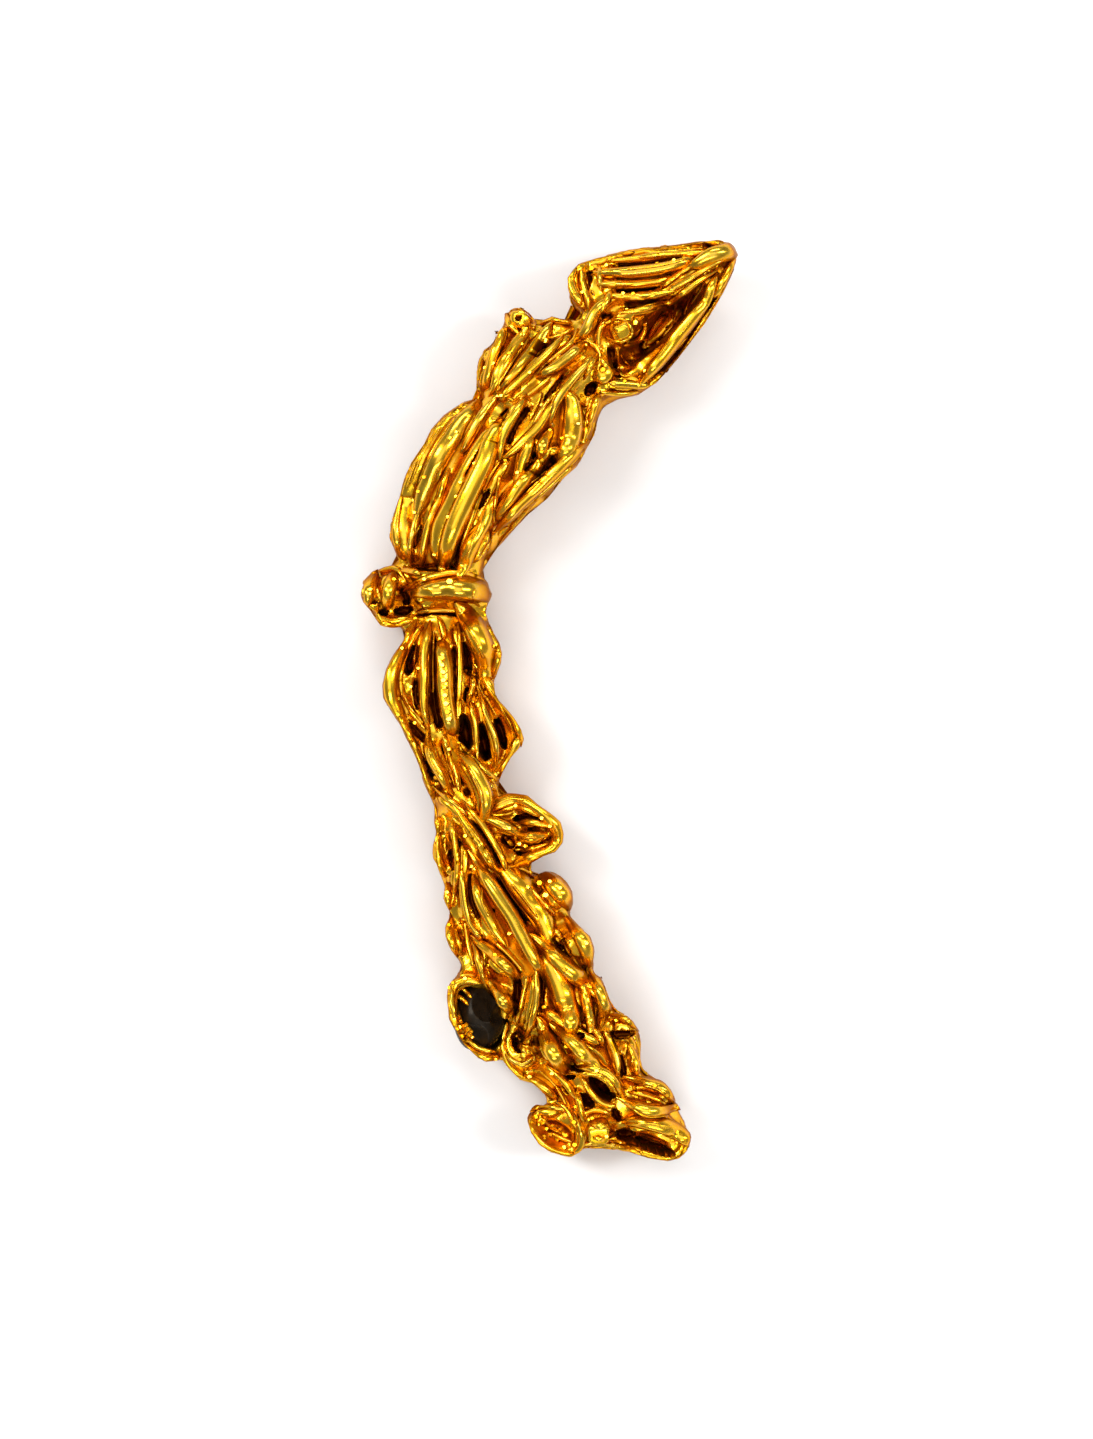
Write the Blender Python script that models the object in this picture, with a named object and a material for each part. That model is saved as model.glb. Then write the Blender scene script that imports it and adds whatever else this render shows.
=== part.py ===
"""A natural gold nugget: a curved bundle of ropes, blades and crystals, lying on a flat surface.

The nugget is laid out in its own plan, in millimetres. u runs across it, v runs along it from the
foot to the crown, and h is the height above the surface that it lies on. The finished solids are in
metres, +X along u, +Y along v and +Z up, centred on the nugget's box, with its underside at Z = 0.
"""

import math
import random

import bmesh
import bpy
import numpy as np
from mathutils import Matrix, Vector, noise
from mathutils.bvhtree import BVHTree

# Driving dimensions, in millimetres.
LENGTH = 46.2
WIDTH = 19.05
CORE_VOXEL = 0.30
SKIN_VOXEL = 0.20
SKIN_TRIANGLES = 8600
SEAT_GAP = 0.3
METRES = 0.001

# How far a rope's centre stands out of the surface under it, as a share of its half width.
ROPE_LIFT = 0.42
PATH_STEP = 0.25
ROUND_SIDES = 12

# The places where the nugget touches the surface: u, v, half size across, half size along.
REST_PADS = {
    "under the crown": (13.3, 41.9, 1.35, 1.35),
    "under the waist": (2.7, 28.3, 1.35, 1.30),
    "under the foot": (12.6, 4.4, 1.45, 1.35),
}
PAD_HALF_HEIGHT = 1.5
PAD_SINK = 0.35

# The outline of the nugget in plan, read clockwise from the notch at the crown's left: u, v.
OUTLINE = [
    # crown
    (11.1, 42.3), (10.6, 43.0), (10.4, 43.7), (10.4, 44.3), (10.7, 44.7), (11.0, 45.0), (12.0, 45.3),
    (13.5, 45.6), (15.0, 45.8), (16.5, 46.0), (18.0, 46.2), (18.6, 46.1), (19.05, 45.4), (18.9, 44.8),
    (18.3, 43.5), (17.4, 42.0), (16.0, 40.2), (15.0, 39.0), (14.1, 38.35), (13.0, 38.15), (12.3, 37.8),
    # right side of the torso
    (12.0, 37.2), (11.85, 36.4), (11.4, 35.6), (11.0, 34.8), (10.3, 34.2), (9.5, 33.2), (8.5, 32.4),
    (7.5, 31.4), (7.0, 30.8), (6.5, 30.0), (6.15, 29.45),
    # collar and the side below it
    (6.5, 29.0), (6.65, 28.5), (6.55, 27.95), (6.4, 27.6), (6.6, 27.0), (6.8, 26.5), (7.1, 26.0),
    (7.25, 25.5), (7.2, 25.0), (7.0, 24.5), (6.85, 23.9), (6.9, 23.3), (7.3, 22.9), (7.8, 22.3),
    (8.2, 21.7), (8.35, 21.2), (8.2, 20.8), (7.7, 20.3), (7.3, 19.6), (7.05, 19.0), (7.1, 18.5),
    # loop knob
    (7.7, 18.55), (8.5, 18.45), (9.0, 18.0), (9.8, 17.45), (10.2, 17.1), (10.35, 16.5), (10.3, 16.0),
    (9.9, 15.5), (9.4, 15.35), (8.6, 14.9), (8.8, 14.4),
    # right side of the shaft, down to the toe
    (9.4, 14.65), (9.9, 14.6), (10.5, 14.1), (10.8, 13.6), (10.8, 13.0), (10.6, 12.4), (11.2, 11.8),
    (11.7, 11.4), (11.9, 10.8), (11.85, 10.2), (11.8, 9.6), (12.2, 9.3), (12.4, 8.8), (12.6, 8.2),
    (12.9, 7.7), (13.5, 7.4), (13.8, 7.1), (14.1, 6.6), (14.2, 6.0), (14.15, 5.2), (14.3, 4.7),
    (14.9, 4.3), (15.3, 4.2), (15.7, 3.7), (15.95, 3.1), (16.3, 2.4), (16.6, 1.9), (16.7, 1.3),
    (16.5, 0.6), (16.1, 0.2), (15.5, 0.05),
    # underside of the foot
    (14.5, 0.2), (13.5, 0.5), (12.2, 0.65), (11.3, 0.6), (10.8, 0.2), (10.3, 0.3), (9.6, 0.5),
    (9.0, 0.9), (8.6, 1.5), (8.35, 2.3), (8.8, 3.0), (9.4, 2.9),
    # left side, from the foot up past the grain's cup
    (9.3, 3.4), (8.7, 3.95), (8.1, 4.1), (7.5, 4.7), (7.2, 5.1), (6.4, 5.0), (6.0, 5.2), (5.3, 5.9),
    (4.9, 6.5), (4.5, 7.2), (4.4, 8.0), (4.4, 9.0), (4.9, 9.55), (5.2, 9.7), (5.0, 10.1), (4.6, 10.6),
    (4.3, 11.3), (4.3, 11.8), (4.6, 12.4), (4.2, 13.2), (4.3, 13.8), (4.1, 14.3), (3.9, 14.9),
    (3.65, 15.3), (3.7, 15.9), (3.9, 16.5), (3.75, 17.0), (3.8, 17.8), (3.6, 18.3), (3.3, 19.0),
    (3.0, 19.9), (2.7, 20.6), (2.4, 21.2), (2.0, 22.0), (1.6, 22.6), (1.2, 23.2), (1.15, 23.9),
    (1.35, 24.7), (1.7, 25.4), (2.2, 26.1), (2.35, 26.5),
    # waist knob
    (2.1, 26.75), (1.5, 26.65), (1.1, 26.8), (0.6, 27.6), (0.2, 28.0), (0.05, 28.4), (0.2, 29.1),
    (0.7, 29.6), (1.3, 29.85), (2.05, 30.0),
    # left side of the torso and the shoulder
    (1.85, 30.5), (1.6, 31.2), (1.6, 31.8), (1.95, 33.0), (2.2, 34.0), (2.6, 35.0), (3.3, 36.0),
    (3.6, 36.7), (4.3, 37.4), (5.3, 38.1), (6.15, 38.3), (5.9, 38.7), (5.85, 39.5), (6.0, 40.2),
    (6.3, 40.7), (6.8, 41.0), (6.9, 41.6), (7.2, 41.9), (7.3, 42.5), (7.8, 42.8), (8.2, 42.8),
    (8.6, 42.5), (9.0, 42.05), (9.7, 42.4), (10.2, 42.2),
]
RIM_HALF_DEPTH = 1.15
RIM_ROUNDING = 1.2
RIM_GRID = 0.15
RIM_WAVES = ((0.55, 0.95, 0.50), (0.35, -0.80, 1.70))

# What stands out past the outline is drawn back: this starts so far inside it and keeps this share.
TRIM_START = 0.10
TRIM_KEEP = 0.25

# The masses that carry everything. Each is a path of (u, v, h, half width, half depth).
CROWN = [
    (18.50, 45.45, 3.30, 0.40, 0.45),
    (17.40, 44.70, 3.25, 1.10, 0.95),
    (16.20, 43.90, 3.20, 1.70, 1.45),
    (14.90, 43.05, 3.10, 2.20, 1.90),
    (13.60, 42.20, 3.00, 2.60, 2.20),
    (12.60, 41.55, 2.95, 2.70, 2.30),
    (11.90, 41.00, 2.95, 2.50, 2.20),
]
TRUNK = [
    (13.20, 41.80, 2.90, 2.10, 2.10),
    (12.30, 40.90, 2.95, 2.20, 2.15),
    (11.10, 39.70, 3.10, 2.30, 2.25),
    (9.70, 38.20, 3.35, 2.60, 2.50),
    (8.20, 36.60, 3.45, 2.75, 2.60),
    (6.80, 34.90, 3.35, 2.75, 2.55),
    (5.50, 33.20, 3.10, 2.55, 2.40),
    (4.60, 31.60, 2.80, 2.15, 2.10),
    (4.15, 30.20, 2.50, 1.75, 1.85),
    (4.20, 28.90, 2.40, 1.70, 1.75),
    (4.40, 27.20, 2.40, 1.70, 1.75),
    (4.30, 25.70, 2.50, 2.10, 1.90),
    (4.20, 24.20, 2.55, 2.35, 2.00),
    (4.40, 22.70, 2.60, 2.25, 2.00),
    (4.90, 21.20, 2.60, 2.00, 1.95),
    (5.10, 19.60, 2.60, 1.60, 1.80),
    (5.20, 18.00, 2.60, 1.30, 1.65),
    (5.40, 16.40, 2.70, 1.35, 1.70),
    (6.00, 14.80, 2.80, 1.60, 1.85),
    (6.80, 13.10, 2.90, 1.95, 2.05),
    (7.80, 11.30, 2.95, 2.35, 2.20),
    (8.80, 9.50, 2.95, 2.40, 2.25),
    (9.90, 7.80, 2.85, 2.15, 2.20),
    (10.90, 6.20, 2.75, 2.20, 2.15),
    (11.90, 4.60, 2.60, 2.00, 2.05),
    (13.00, 3.10, 2.50, 1.80, 1.90),
    (14.20, 2.00, 2.40, 1.00, 1.50),
]
CAP = {"crown": 0.5, "trunk": 0.9}

# Lobes that swell out of those masses: u, v, h, half sizes across, along and through, turn in degrees.
LOBES = {
    "shoulder knob": (8.05, 42.00, 3.9, 0.66, 0.72, 0.95, 0),
    "shoulder bar": (9.90, 41.55, 3.9, 0.95, 0.55, 1.00, 8),
    "shoulder lobe": (6.75, 39.90, 3.7, 0.80, 1.35, 1.30, -12),
    "waist knob": (1.30, 28.25, 2.6, 1.10, 1.40, 1.50, 10),
    "collar bulge": (5.50, 28.50, 2.6, 0.95, 0.80, 1.60, 0),
    "wing": (6.20, 25.60, 2.7, 0.80, 1.40, 1.30, 5),
    "cage": (6.75, 21.60, 2.8, 1.20, 1.75, 1.35, 8),
    "loop knob": (8.60, 16.75, 3.2, 1.40, 1.35, 1.35, -20),
    "loop root": (6.90, 17.10, 3.0, 1.00, 0.70, 1.00, 8),
    "berry knob": (9.75, 13.50, 3.3, 0.90, 0.90, 1.10, 0),
    "shoulder of the foot": (10.95, 10.90, 3.1, 0.75, 0.95, 1.30, 15),
    "edge block": (11.75, 8.60, 2.9, 0.62, 1.15, 1.40, 12),
    "grain cup": (6.10, 7.30, 2.5, 1.60, 2.05, 1.55, -8),
    "heel plate": (13.10, 6.30, 2.6, 0.85, 1.15, 1.30, 20),
    "heel cluster": (14.60, 3.45, 2.6, 1.15, 0.80, 1.40, -25),
    "toe shell": (14.80, 1.25, 2.2, 1.65, 0.95, 1.45, -12),
    "foot leaf": (9.85, 1.60, 2.4, 1.25, 1.05, 1.30, -25),
    "foot block": (12.00, 1.90, 2.5, 0.80, 0.95, 1.45, 0),
}

# Crystals on the side that faces up: u, v, half size, turn and lean in degrees.
CRYSTALS = [
    (13.10, 41.30, 0.60, 20, 30), (12.60, 43.60, 0.40, 10, 50), (11.10, 44.30, 0.42, 35, 20),
    (2.70, 29.40, 0.46, 5, 15), (3.50, 28.30, 0.55, 40, 35), (0.60, 28.40, 0.46, 15, 25),
    (6.60, 18.80, 0.46, 30, 30), (9.50, 17.00, 0.40, 0, 45), (10.20, 13.50, 0.48, 20, 20),
    (9.50, 13.80, 0.44, 50, 10), (9.70, 12.90, 0.40, 0, 40), (10.90, 11.30, 0.66, 25, 30),
    (11.80, 8.20, 0.56, 10, 20), (9.30, 8.00, 0.40, 15, 35), (10.80, 8.50, 0.50, 30, 25),
    (8.35, 5.80, 0.42, 0, 20), (9.50, 5.90, 0.62, 35, 30), (11.30, 5.40, 0.50, 20, 15),
    (13.20, 6.90, 0.50, 0, 20), (14.90, 3.30, 0.50, 30, 40), (12.00, 1.90, 0.62, 5, 20),
    (5.05, 6.45, 0.40, 20, 40),
]

# Ropes on the side that faces up. Each is a half width and the plan points (u, v) that it runs through.
FACE_ROPES = {
    "crown ribs": [
        (0.30, [(18.30, 45.75), (16.60, 45.72), (14.80, 45.50), (13.00, 45.15), (11.40, 44.75)]),
        (0.26, [(17.60, 45.35), (15.80, 45.10), (14.20, 45.00), (12.40, 44.70)]),
        (0.30, [(17.20, 44.85), (15.60, 44.50), (14.00, 44.35), (12.50, 44.15)]),
        (0.34, [(18.30, 45.20), (17.00, 44.55), (16.00, 43.85), (15.00, 43.30)]),
        (0.30, [(17.60, 44.20), (16.20, 43.50), (14.80, 43.00), (13.40, 42.95), (12.30, 43.10)]),
        (0.28, [(16.00, 42.95), (14.80, 42.55), (13.50, 42.20), (12.70, 41.80)]),
    ],
    "crown rim": [
        (0.30, [(18.70, 45.10), (18.05, 43.60), (17.05, 41.90), (15.85, 40.30), (14.90, 39.20), (14.20, 38.70)]),
        (0.26, [(18.20, 44.70), (17.45, 43.20), (16.45, 41.70), (15.30, 40.15), (14.30, 39.10)]),
        (0.30, [(17.80, 44.30), (17.00, 43.00), (15.95, 41.55), (14.80, 40.10), (13.90, 39.25)]),
        (0.38, [(11.50, 44.70), (10.85, 44.30), (10.80, 43.60), (11.10, 42.90), (11.45, 42.40)]),
        (0.32, [(11.95, 44.40), (11.65, 43.70), (11.65, 42.90)]),
        (0.34, [(11.50, 40.80), (11.70, 41.80), (12.10, 42.60), (12.90, 43.00)]),
        (0.30, [(14.10, 38.80), (13.30, 38.65), (12.50, 38.55), (11.90, 38.20)]),
        (0.32, [(12.40, 41.50), (13.20, 41.15), (14.00, 41.65)]),
        (0.30, [(12.20, 39.40), (12.10, 40.50)]),
    ],
    "shoulder": [
        (0.34, [(7.45, 41.60), (6.90, 40.40), (6.50, 39.30), (6.20, 38.50)]),
        (0.30, [(8.60, 41.20), (7.90, 40.20), (7.20, 39.10), (6.70, 38.20)]),
        (0.32, [(10.70, 41.20), (9.70, 40.40), (8.70, 39.50), (7.80, 38.60), (7.10, 37.80)]),
        (0.36, [(11.30, 40.60), (10.50, 39.95), (9.70, 39.40), (9.10, 39.10)]),
        (0.34, [(11.90, 40.20), (11.20, 39.45), (10.50, 38.75), (9.90, 38.00), (9.50, 37.10)]),
        (0.30, [(12.10, 38.30), (11.75, 37.60), (11.50, 36.80), (11.15, 35.90)]),
    ],
    "torso": [
        (0.40, [(5.90, 37.80), (4.60, 37.00), (3.65, 35.90), (2.85, 34.50), (2.30, 33.00), (2.10, 31.50), (2.40, 30.20)]),
        (0.36, [(6.30, 37.20), (5.00, 36.10), (4.00, 34.70), (3.25, 33.20), (2.85, 31.60), (2.80, 30.20)]),
        (0.30, [(5.60, 36.60), (4.80, 35.20), (4.20, 33.80), (3.60, 32.30), (3.25, 31.00), (3.15, 30.10)]),
        (0.32, [(6.60, 36.30), (5.70, 34.90), (4.90, 33.30), (4.30, 31.80), (3.80, 30.40), (3.60, 29.70)]),
        (0.36, [(7.00, 35.60), (6.20, 34.20), (5.50, 32.80), (4.90, 31.40), (4.45, 30.10)]),
        (0.30, [(7.60, 35.00), (6.80, 33.80), (6.20, 32.60), (5.60, 31.30), (5.10, 30.00), (4.90, 29.50)]),
        (0.46, [(6.55, 31.50), (6.10, 30.80), (5.60, 30.00)]),
        (0.32, [(11.10, 35.60), (10.15, 34.60), (9.05, 33.60), (8.00, 32.70), (7.20, 31.90)]),
        (0.30, [(9.40, 34.60), (8.40, 33.80), (7.50, 32.90), (7.00, 32.00)]),
        (0.38, [(8.20, 37.80), (7.50, 36.90), (7.10, 36.00), (7.20, 35.40)]),
        (0.30, [(9.50, 37.40), (8.80, 36.60), (8.10, 35.90), (7.60, 35.30)]),
        (0.34, [(10.40, 35.60), (9.70, 35.40), (9.10, 35.60), (8.80, 36.10)]),
    ],
    "waist": [
        (0.62, [(2.90, 28.20), (3.80, 28.50), (4.90, 28.50), (5.90, 28.40)]),
        (0.40, [(2.50, 29.40), (3.60, 29.20), (4.80, 29.30), (5.70, 29.10)]),
        (0.50, [(0.75, 28.90), (0.70, 28.10), (1.10, 27.50)]),
        (0.45, [(1.50, 29.30), (1.50, 28.40), (1.50, 27.90)]),
        (0.28, [(0.95, 27.50), (1.50, 27.05), (2.40, 27.15), (3.00, 26.90)]),
    ],
    "below the waist": [
        (0.36, [(2.90, 26.70), (2.25, 25.60), (1.75, 24.50), (1.60, 23.50), (1.90, 22.60), (2.45, 21.60),
                (2.95, 20.60), (3.35, 19.50), (3.80, 18.30)]),
        (0.28, [(3.30, 26.80), (2.80, 25.70), (2.45, 24.70), (2.30, 23.80)]),
        (0.32, [(3.60, 26.80), (3.35, 25.60), (3.30, 24.30), (3.30, 23.00), (3.50, 21.90)]),
        (0.42, [(4.20, 25.90), (4.40, 24.60), (4.40, 23.30), (4.60, 22.20), (4.85, 21.50)]),
        (0.26, [(4.90, 26.90), (5.05, 25.40), (5.00, 23.80), (5.05, 22.40), (5.00, 21.20)]),
        (0.50, [(5.40, 27.00), (5.90, 26.10), (6.30, 25.20)]),
        (0.36, [(6.30, 26.90), (6.75, 26.00), (6.80, 25.20), (6.50, 24.30)]),
        (0.30, [(6.20, 24.20), (6.90, 23.10), (7.55, 22.20), (7.90, 21.30), (7.50, 20.30), (6.90, 19.40)]),
        (0.26, [(6.00, 23.30), (6.40, 22.10), (6.80, 21.00), (6.80, 20.00)]),
        (0.26, [(5.60, 23.10), (5.85, 21.80), (5.90, 20.50)]),
        (0.28, [(2.10, 23.30), (2.70, 22.50), (3.40, 21.80)]),
        (0.40, [(3.70, 21.20), (3.80, 20.30), (4.20, 19.50), (4.70, 18.80)]),
        (0.28, [(5.00, 21.00), (5.80, 20.10), (6.50, 19.40), (6.85, 19.00)]),
        (0.44, [(5.10, 20.10), (5.80, 19.20), (6.15, 18.20), (6.00, 17.30)]),
        (0.30, [(4.00, 18.40), (4.80, 17.80), (5.40, 17.20)]),
    ],
    "loop knob": [
        (0.38, [(6.70, 17.70), (7.30, 17.95), (8.10, 18.05), (8.90, 17.65), (9.60, 17.05), (9.90, 16.45),
                (9.65, 15.95), (8.90, 15.60), (7.90, 15.25)]),
        (0.34, [(6.40, 17.10), (7.20, 16.80), (7.90, 16.40)]),
        (0.36, [(8.10, 16.20), (8.80, 16.10), (9.30, 16.50)]),
        (0.32, [(8.30, 17.00), (9.10, 17.00)]),
    ],
    "shaft": [
        (0.36, [(4.15, 17.40), (4.10, 16.40), (4.05, 15.50), (4.45, 14.50)]),
        (0.30, [(4.70, 17.20), (5.00, 16.00), (5.00, 14.80), (4.80, 13.80)]),
        (0.34, [(5.20, 17.40), (6.00, 16.40), (6.60, 15.40), (7.00, 14.80)]),
        (0.30, [(5.40, 17.80), (6.30, 16.80), (7.00, 15.70), (7.50, 14.50)]),
        (0.36, [(6.10, 14.70), (6.90, 13.40), (7.60, 12.40), (8.20, 11.40), (8.80, 10.40), (9.30, 9.50)]),
        (0.28, [(5.40, 15.90), (5.30, 14.40), (5.40, 13.00), (5.70, 12.00), (6.40, 11.30)]),
        (0.32, [(6.00, 14.20), (6.00, 13.10), (6.40, 12.20), (7.00, 11.60)]),
        (0.30, [(7.50, 14.30), (8.40, 13.70), (9.20, 12.90), (9.80, 12.40)]),
        (0.40, [(4.75, 13.60), (4.70, 12.90)]),
        (0.48, [(4.80, 12.00), (4.80, 11.20), (5.20, 10.40)]),
        (0.34, [(9.20, 10.70), (10.20, 9.90), (11.10, 9.20)]),
        (0.46, [(10.90, 11.70), (11.25, 10.80), (11.35, 9.90)]),
        (0.34, [(9.30, 11.60), (10.10, 11.00), (10.40, 10.30)]),
        (0.46, [(11.70, 9.40), (12.05, 8.60), (12.15, 7.70)]),
        (0.32, [(5.90, 10.80), (6.20, 9.80), (6.40, 8.80), (6.90, 7.90), (7.60, 7.40)]),
        (0.40, [(6.50, 10.40), (7.20, 9.90), (7.80, 9.40)]),
        (0.34, [(8.90, 9.70), (8.80, 8.60), (8.60, 7.60), (8.40, 6.70)]),
        (0.40, [(7.00, 8.90), (7.50, 8.30), (8.00, 7.60)]),
    ],
    "grain cup": [
        (0.34, [(6.30, 9.00), (5.50, 9.20), (4.85, 8.80), (4.75, 7.90), (4.85, 7.00), (5.30, 6.10),
                (6.10, 5.50), (7.10, 5.40)]),
    ],
    "heel": [
        (0.26, [(7.80, 7.00), (7.55, 6.20), (7.75, 5.50), (8.30, 5.05), (8.90, 5.20)]),
        (0.60, [(9.45, 6.40), (9.80, 5.60), (10.20, 5.10)]),
        (0.46, [(10.20, 6.50), (10.80, 5.90), (11.50, 5.40)]),
        (0.36, [(10.80, 4.90), (11.80, 4.80), (12.60, 4.30), (13.00, 3.60)]),
        (0.34, [(9.30, 7.90), (10.20, 7.30), (11.20, 6.60), (12.10, 6.10)]),
        (0.36, [(12.70, 7.30), (13.45, 7.00), (13.75, 6.40)]),
        (0.36, [(13.60, 5.90), (13.80, 5.10), (13.80, 4.50)]),
        (0.44, [(13.60, 3.30), (14.40, 2.75), (15.40, 2.65)]),
        (0.36, [(13.80, 4.00), (14.50, 3.95), (15.20, 3.75), (15.55, 3.10)]),
        (0.34, [(8.40, 4.50), (9.30, 3.90), (9.90, 3.30)]),
        (0.32, [(10.90, 3.90), (11.10, 3.10), (11.20, 2.30)]),
    ],
    "foot": [
        (0.30, [(8.75, 2.50), (8.75, 1.80), (9.30, 1.00), (10.20, 0.65), (10.85, 0.75), (11.10, 1.60), (10.90, 2.40)]),
        (0.30, [(8.90, 2.60), (9.60, 2.60), (10.30, 2.90)]),
        (0.36, [(13.40, 1.90), (14.40, 2.00), (15.50, 2.00), (16.20, 1.60), (16.30, 1.00), (15.85, 0.50)]),
        (0.32, [(13.30, 1.00), (14.20, 0.60), (15.10, 0.42), (15.90, 0.50)]),
        (0.30, [(11.30, 0.95), (12.40, 1.00), (13.20, 0.95)]),
    ],
}

# Hollows in the side that faces up: u, v, half length, half width, turn in degrees, depth.
HOLLOWS = {
    "crown": (15.05, 41.75, 2.60, 0.72, 46, 1.60),
    "crown floor": (13.20, 39.70, 0.85, 0.42, 25, 1.00),
    "torso gap": (7.20, 37.15, 0.75, 0.24, 62, 0.70),
    "torso eye": (8.95, 35.15, 0.32, 0.20, -35, 0.60),
    "torso pocket": (11.25, 36.35, 0.50, 0.18, 85, 0.50),
    "left leaf": (2.45, 25.00, 0.85, 0.20, 72, 0.55),
    "wing leaf": (5.45, 25.20, 0.90, 0.18, -75, 0.65),
    "cage left": (5.35, 21.50, 0.95, 0.24, -80, 0.90),
    "cage middle": (6.25, 21.10, 0.95, 0.22, -74, 0.90),
    "cage right": (7.15, 21.60, 0.70, 0.20, -62, 0.70),
    "shaft slot": (3.65, 19.65, 0.60, 0.17, -68, 0.50),
    "loop upper": (8.30, 17.30, 0.75, 0.14, 12, 0.50),
    "loop lower": (8.20, 15.60, 0.55, 0.20, -20, 0.60),
    "loop root": (7.40, 16.30, 0.45, 0.20, -40, 0.60),
    "shaft eye": (4.70, 15.10, 0.50, 0.18, -78, 0.45),
    "shoulder gap": (10.40, 10.75, 0.50, 0.18, -62, 0.60),
    "heel cup": (8.00, 6.10, 0.62, 0.34, -72, 0.80),
    "heel eye": (12.20, 3.95, 0.80, 0.34, -42, 1.10),
    "toe mouth": (14.70, 1.15, 1.30, 0.26, -20, 1.10),
    "foot leaf": (9.90, 1.65, 0.80, 0.50, -28, 0.55),
}
HOLLOW_WALL = 0.45

# The mineral grain in its cup: plan centre, height, half sizes across, along and through, turn.
GRAIN = (6.08, 7.35, 3.50, 1.12, 1.56, 1.00, -6)
GRAIN_FACETS = 3
GRAIN_ROUGHNESS = 0.10
GRAIN_SEED = 5

# The side that the nugget lies on carries ropes of the same habit, laid along the trunk and the crown.
BACK_SEED = 11
BACK_ROPES = 64
BACK_RIBS = 9
BACK_HALF_WIDTH = (0.28, 0.48)
BACK_LENGTH = (2.6, 6.5)
BACK_LEAST_HEIGHT = 0.60
BACK_CRYSTALS = 44
BACK_CRYSTAL_SIZE = (0.35, 0.7)

# Furrows that run along the sides and the underside: depth, how close they stand, how long they run.
FURROW_DEPTH = 0.26
FURROW_CLOSENESS = 2.1
FURROW_STRETCH = 0.38


def flowing(points, step=PATH_STEP):
    """Points read from a smooth curve through the given ones, with every column carried along."""
    rows = np.array(points, float)
    ends = 2 * rows[0] - rows[1], 2 * rows[-1] - rows[-2]
    padded = np.vstack([ends[0], rows, ends[1]])
    found = []
    for a, b, c, d in zip(padded, padded[1:], padded[2:], padded[3:]):
        count = max(2, math.ceil(np.linalg.norm(c[:2] - b[:2]) / step))
        for t in np.arange(count) / count:
            found.append(
                0.5 * (2 * b + (c - a) * t + (2 * a - 5 * b + 4 * c - d) * t**2 + (3 * b - a - 3 * c + d) * t**3)
            )
    found.append(rows[-1])
    return np.array(found)


def end_taper(centres, cap):
    """How much of its full section a swept form keeps at each point, so that both ends close round."""
    steps = np.linalg.norm(np.diff(centres, axis=0), axis=1)
    along = np.concatenate([[0.0], np.cumsum(steps)])
    nearest = np.minimum(along, along[-1] - along)
    return np.sqrt(np.clip(1 - (1 - np.clip(nearest / cap, 0.02, 1)) ** 2, 0, 1))


def swept(centres, half_widths, half_depths, ups, cap, sides=ROUND_SIDES):
    """A closed form with a round section, swept along a path. Returns its points and faces."""
    tangents = np.gradient(centres, axis=0)
    tangents /= np.linalg.norm(tangents, axis=1)[:, None]
    across = np.cross(tangents, ups)
    across /= np.linalg.norm(across, axis=1)[:, None]
    out = np.cross(across, tangents)
    taper = end_taper(centres, cap)
    points = []
    for centre, side, up, wide, deep in zip(centres, across, out, half_widths * taper, half_depths * taper):
        for k in range(sides):
            angle = 2 * math.pi * k / sides
            points.append(centre + side * wide * math.cos(angle) + up * deep * math.sin(angle))
    faces = []
    last = len(centres) - 1
    for ring in range(last):
        for k in range(sides):
            a, b = ring * sides + k, ring * sides + (k + 1) % sides
            faces.append((a, a + sides, b + sides, b))
    faces.append(tuple(range(sides)))
    faces.append(tuple(last * sides + k for k in reversed(range(sides))))
    return np.array(points), faces


def lobe(u, v, h, across, along, through, turn):
    """A closed ball, stretched and turned in the plan. Returns its points and faces."""
    ball = bmesh.new()
    bmesh.ops.create_icosphere(ball, subdivisions=3, radius=1.0)
    placed = Matrix.Translation((u, v, h)) @ Matrix.Rotation(math.radians(turn), 4, "Z")
    ball.transform(placed @ Matrix.Diagonal((across, along, through, 1)))
    points = np.array([vertex.co[:] for vertex in ball.verts])
    faces = [tuple(vertex.index for vertex in face.verts) for face in ball.faces]
    ball.free()
    return points, faces


def mass(rows, cap):
    """One of the nugget's main masses, as a closed swept form."""
    path = flowing(rows)
    ups = np.tile((0.0, 0.0, 1.0), (len(path), 1))
    return swept(path[:, :3], path[:, 3], path[:, 4], ups, cap, sides=24)


def crystal(place, size, turn, lean):
    """A closed cube with cut corners, the habit of native gold. Returns its points and faces."""
    block = bmesh.new()
    bmesh.ops.create_cube(block, size=2.0)
    bmesh.ops.bevel(block, geom=list(block.verts), offset=0.6, segments=1, affect="VERTICES")
    spin = Matrix.Rotation(math.radians(turn), 4, "Z") @ Matrix.Rotation(math.radians(lean), 4, "X")
    block.transform(Matrix.Translation(place) @ spin @ Matrix.Scale(size, 4))
    points = np.array([vertex.co[:] for vertex in block.verts])
    faces = [tuple(vertex.index for vertex in face.verts) for face in block.faces]
    block.free()
    return points, faces


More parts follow.
